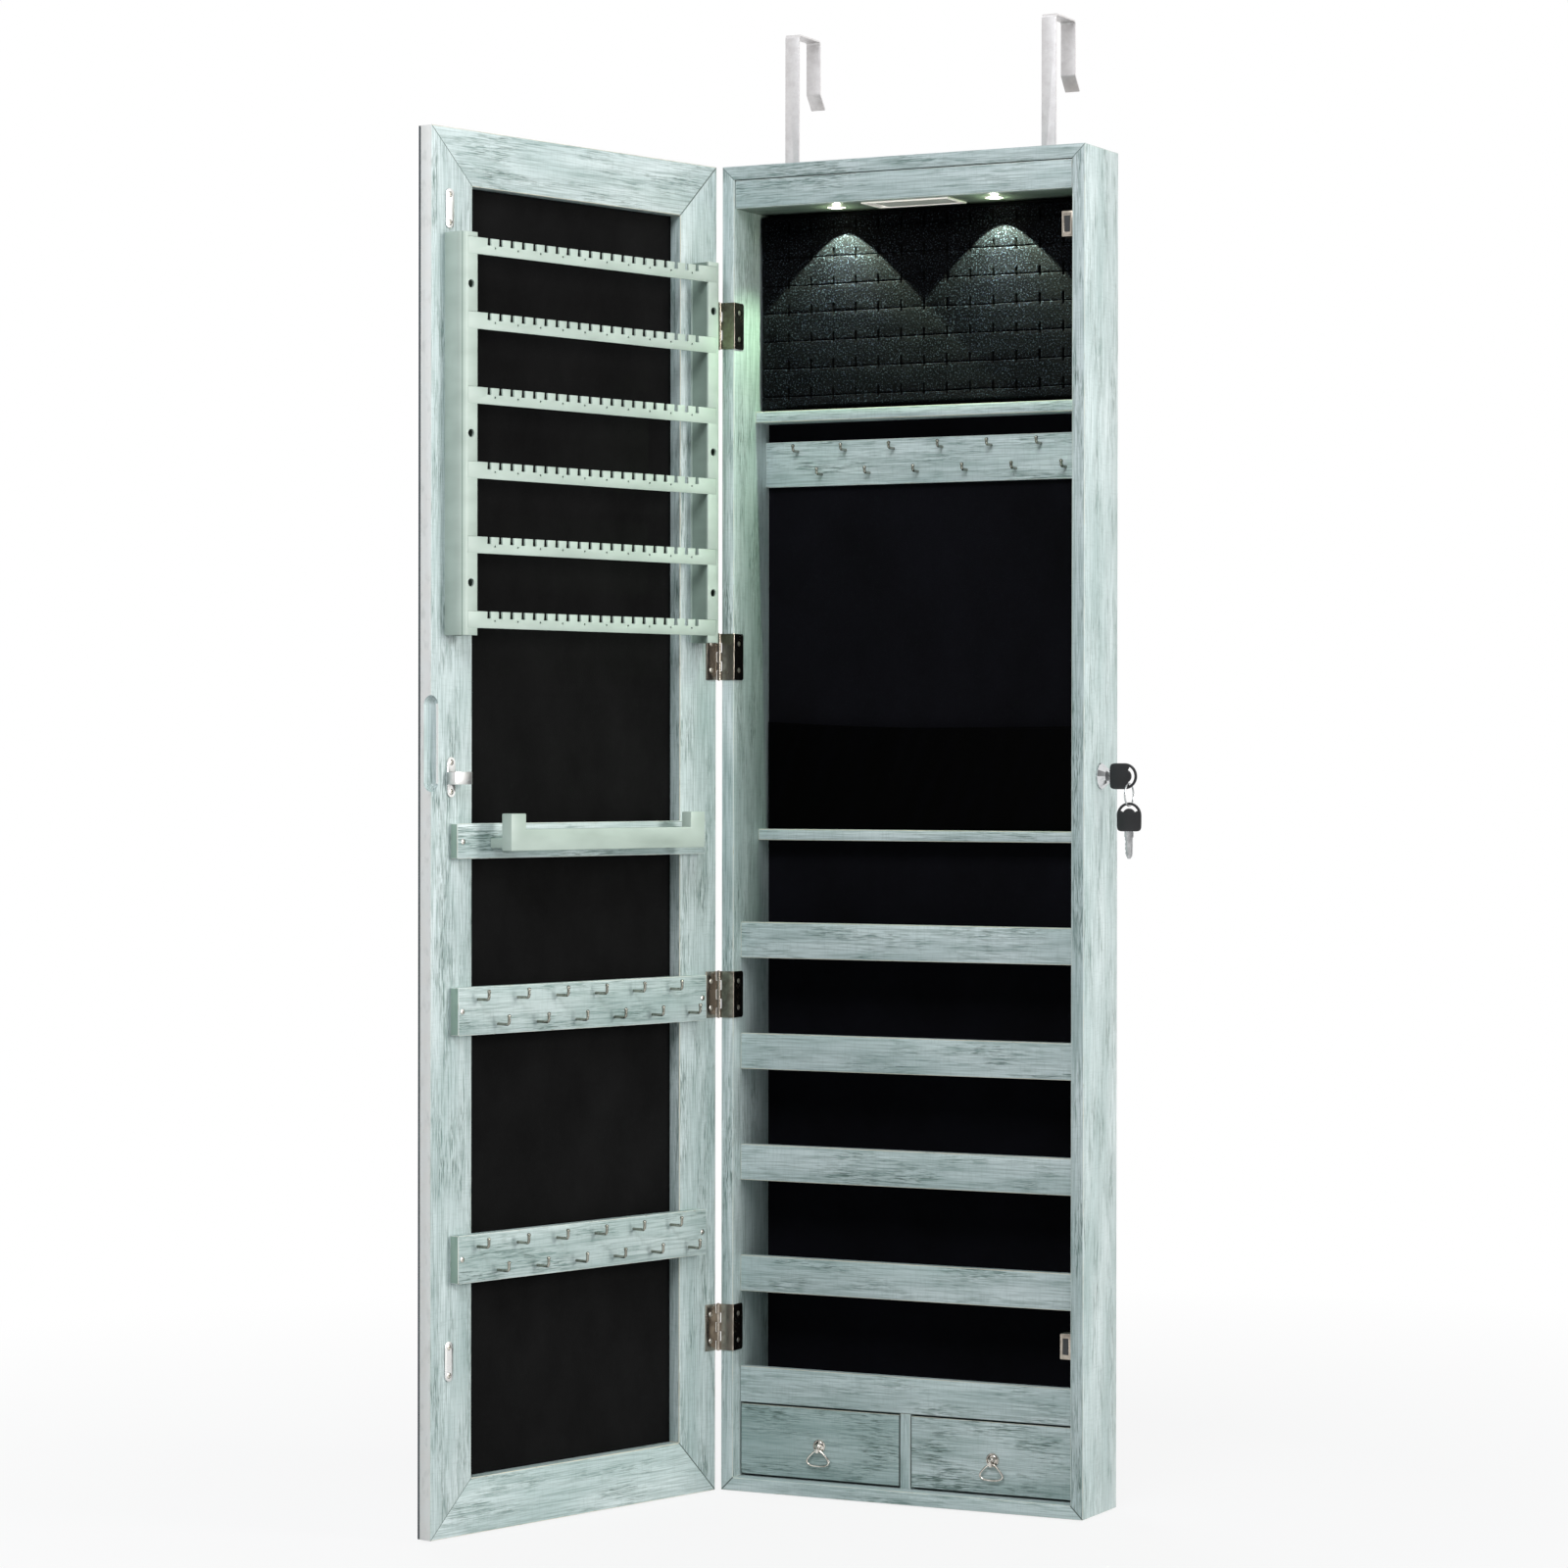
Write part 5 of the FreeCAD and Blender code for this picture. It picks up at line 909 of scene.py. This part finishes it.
addKey("doorKey", "door_key", "lock_core", Matrix.Translation(key["doorAt"]), key)
spareLow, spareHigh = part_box("spare_key")
spareAt = Matrix.Translation(((spareLow[0] + spareHigh[0]) / 2, (spareLow[1] + spareHigh[1]) / 2,
                              spareHigh[2] - key["round"]))
addKey("spareKey", "spare_key", "spare", spareAt @ Matrix.Rotation(-math.pi / 2, 4, "Y"), key)

print("mirror")


def addMirror():
    bm = easedCopy("mirror_glass", 0.0006, 0.01, segments=1)
    facing = swing.to_3x3() @ Vector((0, -1, 0))
    for face in bm.faces:
        face.material_index = 0 if face.normal.dot(facing) > 0.99 else 1
    settle(finishMesh("mirrorGlass", bm, [mirrorSilver, glassEdge], 20), "door", "mirror_glass", "mirror_glass")


addMirror()

print("velvet")

velvetCloth = {"cell": 0.009, "ripple": 0.00012, "proud": 0.0002,
               "door": ((-0.1297, -0.092, 0.0483), (0.1297, -0.0905, 1.1517))}


def velvetPanel(low, high, face, spec):
    # a stretched cloth in the xz plane whose seen side is at y face; the faint waves glue leaves in it are added by
    # its callers
    wide, tall = high[0] - low[0], high[2] - low[2]
    bm = bmesh.new()
    bmesh.ops.create_grid(bm, x_segments=int(wide / spec["cell"]), y_segments=int(tall / spec["cell"]), size=0.5)
    bmesh.ops.scale(bm, vec=(wide, tall, 1), verts=bm.verts)
    bmesh.ops.rotate(bm, cent=(0, 0, 0), matrix=Matrix.Rotation(math.pi / 2, 3, "X"), verts=bm.verts)
    bmesh.ops.translate(bm, vec=((low[0] + high[0]) / 2, face, (low[2] + high[2]) / 2), verts=bm.verts)
    return bm


def addBackVelvet(spec):
    low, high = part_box("back_lining")
    bm = velvetPanel(low, high, low[1] + spec["proud"], spec)
    for vert in bm.verts:
        vert.co.y += spec["ripple"] * noise.noise(Vector((vert.co.x * 22, 0, vert.co.z * 13)))
    item = finishMesh("backVelvet", bm, [cabinetVelvet], 60)
    settle(item, "cabinet", "cabinet_velvet", "back_lining")


addBackVelvet(velvetCloth)


def addDoorVelvet(spec):
    low, high = [Vector(corner) for corner in spec["door"]]
    bm = velvetPanel(low, high, high.y - spec["proud"], spec)
    bmesh.ops.reverse_faces(bm, faces=bm.faces)
    for vert in bm.verts:
        vert.co.y += spec["ripple"] * noise.noise(Vector((vert.co.x * 20, 4, vert.co.z * 11)))
    bmesh.ops.transform(bm, matrix=swing, verts=bm.verts)
    item = finishMesh("doorVelvet", bm, [doorVelvet], 60)
    settle(item, "door", "door_velvet", "velvet_panel")


addDoorVelvet(velvetCloth)

print("pocket")

pocket = {"low": 0.5997, "tops": (0.6976, 0.6917, 0.6930), "half": 0.1655, "back": -0.0066, "side": 0.0052,
          "belly": 0.0036, "thick": 0.0009, "fold": 0.007, "crease": 0.0007, "creaseWide": 0.0042,
          "hemWire": 0.0007, "hemDrop": 0.0004,
          "slack": [((-0.17, 0.78), (-0.27, 0.36)), ((0.20, 0.86), (0.04, 0.30)), ((0.88, 0.95), (0.62, 0.28))]}


def addPocket(spec):
    bm = bmesh.new()
    bmesh.ops.create_grid(bm, x_segments=150, y_segments=44, size=1.0)
    left, middle, right = spec["tops"]
    for vert in bm.verts:
        u, v = vert.co.x, (vert.co.y + 1) / 2
        hem = middle + (left - middle) * max(-u, 0) ** 1.6 + (right - middle) * max(u, 0) ** 1.6
        edge = min(1.0, (1 - abs(u)) * spec["half"] / spec["fold"])
        out = spec["side"] * math.sin(edge * math.pi / 2) ** 0.6
        out += spec["belly"] * (1 - u * u) * (0.35 + 0.65 * v) * math.sin(edge * math.pi / 2)
        for top, foot in spec["slack"]:
            run = Vector((foot[0] - top[0], foot[1] - top[1]))
            here = Vector((u - top[0], v - top[1]))
            along = min(1.0, max(0.0, here.dot(run) / run.length_squared))
            far = (here - run * along) * spec["half"]
            out += spec["crease"] * math.exp(-(far.length / spec["creaseWide"]) ** 2) \
                * math.sin(math.pi * min(0.95, along + 0.05))
        vert.co = (u * spec["half"], spec["back"] - out, spec["low"] + v * (hem - spec["low"]))
    item = finishMesh("pocketCloth", bm, [pocketVelour], 60)
    wall = item.modifiers.new("thickness", "SOLIDIFY")
    wall.thickness = spec["thick"]
    wall.offset = 0
    settle(item, "cabinet", "pocket_cloth", "velvet_pocket")
    return item


def addPocketHem(cloth, spec):
    # the turned and stitched top edge: a slim roll that follows the cloth's upper row
    row = sorted((vert.co.copy() for vert in cloth.data.vertices[-151:]), key=lambda point: point.x)
    bm = wireAlong([(point.x, point.y, point.z - spec["hemDrop"]) for point in row[::5]], spec["hemWire"])
    return settle(finishMesh("pocketHem", bm, [pocketVelour], 60), "cabinet", "pocket_cloth")


pocketCloth = addPocket(pocket)
pocketHem = addPocketHem(pocketCloth, pocket)

print("ring cushion")

cushion = {"low": (-0.1655, -0.0261, 0.9812), "high": (0.1655, -0.0062, 1.1615), "inset": 0.0022, "voxel": 0.005,
           "pressure": 4.0, "cap": 0.005, "frames": 20, "slits": [0.9945 + 0.0252 * count for count in range(7)],
           "ticks": [-0.1362 + 0.0227 * count for count in range(13)], "lip": 0.0011, "cut": 0.0003,
           "deep": 0.0075, "puff": 0.00035, "under": -0.0034, "over": (0.0045, 0.0078),
           "tickCuts": (-0.0011, -0.0005, 0, 0.0005, 0.0011), "tickHalf": 0.0007, "tickReach": (-0.003, 0.0066)}


def applied(item):
    mesh = bpy.data.meshes.new_from_object(item.evaluated_get(bpy.context.evaluated_depsgraph_get()))
    item.modifiers.clear()
    item.data = mesh
    return item


def swollenSlab(spec):
    low = Vector(spec["low"]) + Vector((1, 1, 1)) * spec["inset"]
    high = Vector(spec["high"]) - Vector((1, 1, 1)) * spec["inset"]
    bm = bmesh.new()
    bmesh.ops.create_cube(bm, size=1.0)
    bmesh.ops.scale(bm, vec=high - low, verts=bm.verts)
    bmesh.ops.translate(bm, vec=(low + high) / 2, verts=bm.verts)
    item = finishMesh("ringCushion", bm, [cushionFoam])
    remesh = item.modifiers.new("remesh", "REMESH")
    remesh.mode = "VOXEL"
    remesh.voxel_size = spec["voxel"]
    bpy.context.view_layer.update()
    applied(item)
    start = [vert.co.copy() for vert in item.data.vertices]
    cloth = item.modifiers.new("swell", "CLOTH")
    cloth.settings.use_pressure = True
    cloth.settings.uniform_pressure_force = spec["pressure"]
    cloth.settings.effector_weights.gravity = 0
    for count in range(1, spec["frames"] + 1):
        bpy.context.scene.frame_set(count)
    applied(item)
    bpy.context.scene.frame_set(1)
    for vert, home in zip(item.data.vertices, start):
        move = vert.co - home
        if move.length > spec["cap"]:
            vert.co = home + move.normalized() * spec["cap"]
    return item


def addCushion(spec):
    item = swollenSlab(spec)
    bm = bmesh.new()
    bm.from_mesh(item.data)
    bmesh.ops.subdivide_edges(bm, edges=bm.edges, cuts=1, use_grid_fill=True, smooth=0.6)
    fillSpace(bm, Vector(spec["low"]), Vector(spec["high"]))
    front = spec["low"][1]
    for slit in spec["slits"]:
        for step in (spec["under"], -spec["lip"], -spec["cut"], 0, spec["cut"], spec["lip"], *spec["over"]):
            cutPlane(bm, (0, 0, slit + step), (0, 0, 1))
    for tick in spec["ticks"]:
        for step in spec["tickCuts"]:
            cutPlane(bm, (tick + step, 0, 0), (1, 0, 0))
    low, high = Vector(spec["low"]), Vector(spec["high"])
    for vert in bm.verts:
        if vert.co.y < front + 0.006 and vert.normal.y < -0.2:
            shapeFront(vert, spec)
        for axis in range(3):
            vert.co[axis] = min(max(vert.co[axis], low[axis]), high[axis])
    # painted shade: the faces inside the slits and ticks take the near-black foam
    for face in bm.faces:
        middle = face.calc_center_median()
        near = min(abs(middle.x - tick) for tick in spec["ticks"])
        over = min(abs(middle.z - slit) for slit in spec["slits"])
        if front + 0.0016 < middle.y < front + 0.009 and (near < 0.0012 or over < spec["cut"] * 1.5):
            face.material_index = 1
    item.data = bpy.data.meshes.new("ringCushion")
    bmesh.ops.recalc_face_normals(bm, faces=bm.faces)
    bm.to_mesh(item.data)
    bm.free()
    item.data.shade_smooth()
    for material in (cushionFoam, paintedShadeFoam):
        item.data.materials.append(material)
    settle(item, "cabinet", "ring_cushion", "ring_cushion")
    return item


def fillSpace(bm, low, high):
    # the foam is pressed in between the boards, so it takes up their whole space
    for axis in range(3):
        least, most = [pick(vert.co[axis] for vert in bm.verts) for pick in (min, max)]
        grow = Vector((1, 1, 1))
        grow[axis] = (high[axis] - low[axis]) / (most - least)
        shift = Vector()
        shift[axis] = low[axis] - least * grow[axis]
        bmesh.ops.scale(bm, vec=grow, verts=bm.verts)
        bmesh.ops.translate(bm, vec=shift, verts=bm.verts)


def cutPlane(bm, at, facing):
    near = [face for face in bm.faces if face.normal.y < -0.3]
    parts = {item for face in near for item in (*face.verts, *face.edges)}
    bmesh.ops.bisect_plane(bm, geom=[*parts, *near], dist=1e-6, plane_co=at, plane_no=facing)


def shapeFront(vert, spec):
    x, z = vert.co.x, vert.co.z
    slit = min(spec["slits"], key=lambda value: abs(value - z))
    tick = min(spec["ticks"], key=lambda value: abs(value - x))
    off = z - slit
    flatten = spec["low"][1] + 0.0007
    roll = math.exp(-(off / 0.0028) ** 2)
    y = flatten + spec["puff"] * roll + 0.0005 * noise.noise(Vector((x * 45, 3, z * 60)))
    y += (flatten - y) * 0.25 * math.exp(-((abs(off) - spec["lip"]) / 0.0012) ** 2)
    gape = 0.5 + 0.5 * noise.noise(Vector((x * 28, slit * 90, 1)))
    if abs(off) < spec["cut"] * 0.6:
        y += spec["deep"] * (0.55 + 0.45 * gape)
    elif abs(off) < spec["cut"] * 1.4:
        y += 0.0005 * gape
    if abs(x - tick) < spec["tickHalf"] and spec["tickReach"][0] < off < spec["tickReach"][1]:
        y = max(y, flatten + spec["deep"] * 0.6)
    vert.co.y = y
    vert.co.z += 0.0007 * noise.noise(Vector((x * 16, 7, slit * 50))) * math.exp(-(off / 0.006) ** 2)


ringCushion = addCushion(cushion)

print("lamps")

# Two LEDs in the soffit: a frosted dome over each chip, whose beam is blue-white at heart and yellow-green
# at its edge. The foam drinks up nearly all of it, so it has a beam of its own that shows on it.
lampLook = {"spots": [(-0.078, -0.045), (0.078, -0.045)], "high": 1.1622, "chipDrop": 0.0028, "chip": 0.0008,
            "dome": [(6.0, 3.0), (6.0, 0.2), (5.5, -0.6), (4.2, -1.2), (2.3, -1.6), (0.0, -1.75)],
            "cones": [{"angle": 110, "blend": 0.6, "power": 1.5, "colour": "#D8FFD0", "only": False},
                      {"angle": 90, "blend": 0.10, "power": 8.6, "colour": "#E2F8DC", "only": True},
                      {"angle": 76, "blend": 0.9, "power": 2.4, "colour": "#C8D8FF", "only": True}],
            "glow": {"power": 0.03, "colour": "#F0FFD8", "drop": 0.0045, "size": 0.003},
            "spill": {"place": (0.05, -0.3, 0.98), "aim": (0.0, -0.047, 1.16), "size": 0.06, "power": 0.75,
                      "colour": "#FFF4F2"}}


def addLenses(spec):
    bm = bmesh.new()
    for x, y in spec["spots"]:
        row = [bm.verts.new((out / 1000, 0, up / 1000)) for out, up in spec["dome"]]
        edges = [bm.edges.new(pair) for pair in zip(row, row[1:])]
        old = set(bm.verts) - set(row)
        bmesh.ops.spin(bm, geom=row + edges, cent=(0, 0, 0), axis=(0, 0, 1), angle=math.tau, steps=32,
                       use_merge=True)
        bmesh.ops.translate(bm, vec=(x, y, spec["high"]), verts=[vert for vert in bm.verts if vert not in old])
    bmesh.ops.remove_doubles(bm, verts=bm.verts, dist=1e-6)
    bmesh.ops.recalc_face_normals(bm, faces=bm.faces)
    settle(finishMesh("lampLenses", bm, [ledLens]), "cabinet", "lamp_lens", "lamp_lenses")


def lightLamps(spec):
    foam = bpy.data.collections.new("litFoam")
    rest = bpy.data.collections.new("litBoards")
    for group in (foam, rest):
        group.objects.link(ringCushion)
    rest.collection_objects[0].light_linking.link_state = "EXCLUDE"
    for count, (x, y) in enumerate(spec["spots"]):
        for layer, cone in enumerate(spec["cones"]):
            lamp = bpy.data.lights.new(f"ledCone{count}{layer}", "SPOT")
            lamp.spot_size = math.radians(cone["angle"])
            lamp.spot_blend = cone["blend"]
            lamp.energy = cone["power"]
            lamp.color = linear(cone["colour"])[:3]
            lamp.shadow_soft_size = spec["chip"]
            item = bpy.data.objects.new(lamp.name, lamp)
            item.location = (x, y, spec["high"] - spec["chipDrop"])
            bpy.context.scene.collection.objects.link(item)
            item.light_linking.receiver_collection = foam if cone["only"] else rest
        lamp = bpy.data.lights.new(f"ledGlow{count}", "POINT")
        lamp.energy = spec["glow"]["power"]
        lamp.color = linear(spec["glow"]["colour"])[:3]
        lamp.shadow_soft_size = spec["glow"]["size"]
        item = bpy.data.objects.new(lamp.name, lamp)
        item.location = (x, y, spec["high"] - spec["glow"]["drop"])
        item.light_linking.receiver_collection = rest
        bpy.context.scene.collection.objects.link(item)
    # lamplight thrown back up on the pale battery box between the lamps
    spill = bpy.data.lights.new("spill", "AREA")
    spill.size = spec["spill"]["size"]
    spill.energy = spec["spill"]["power"]
    spill.color = linear(spec["spill"]["colour"])[:3]
    item = bpy.data.objects.new("spill", spill)
    item.location = spec["spill"]["place"]
    way = Vector(spec["spill"]["aim"]) - Vector(spec["spill"]["place"])
    item.rotation_euler = way.to_track_quat("-Z", "Y").to_euler()
    box = bpy.data.collections.new("litBox")
    for name in ("batteryTray", "batteryCover", "lampBezels"):
        box.objects.link(bpy.data.objects[name])
    item.light_linking.receiver_collection = box
    bpy.context.scene.collection.objects.link(item)


addLenses(lampLook)
lightLamps(lampLook)

print("done")
bpy.context.view_layer.update()
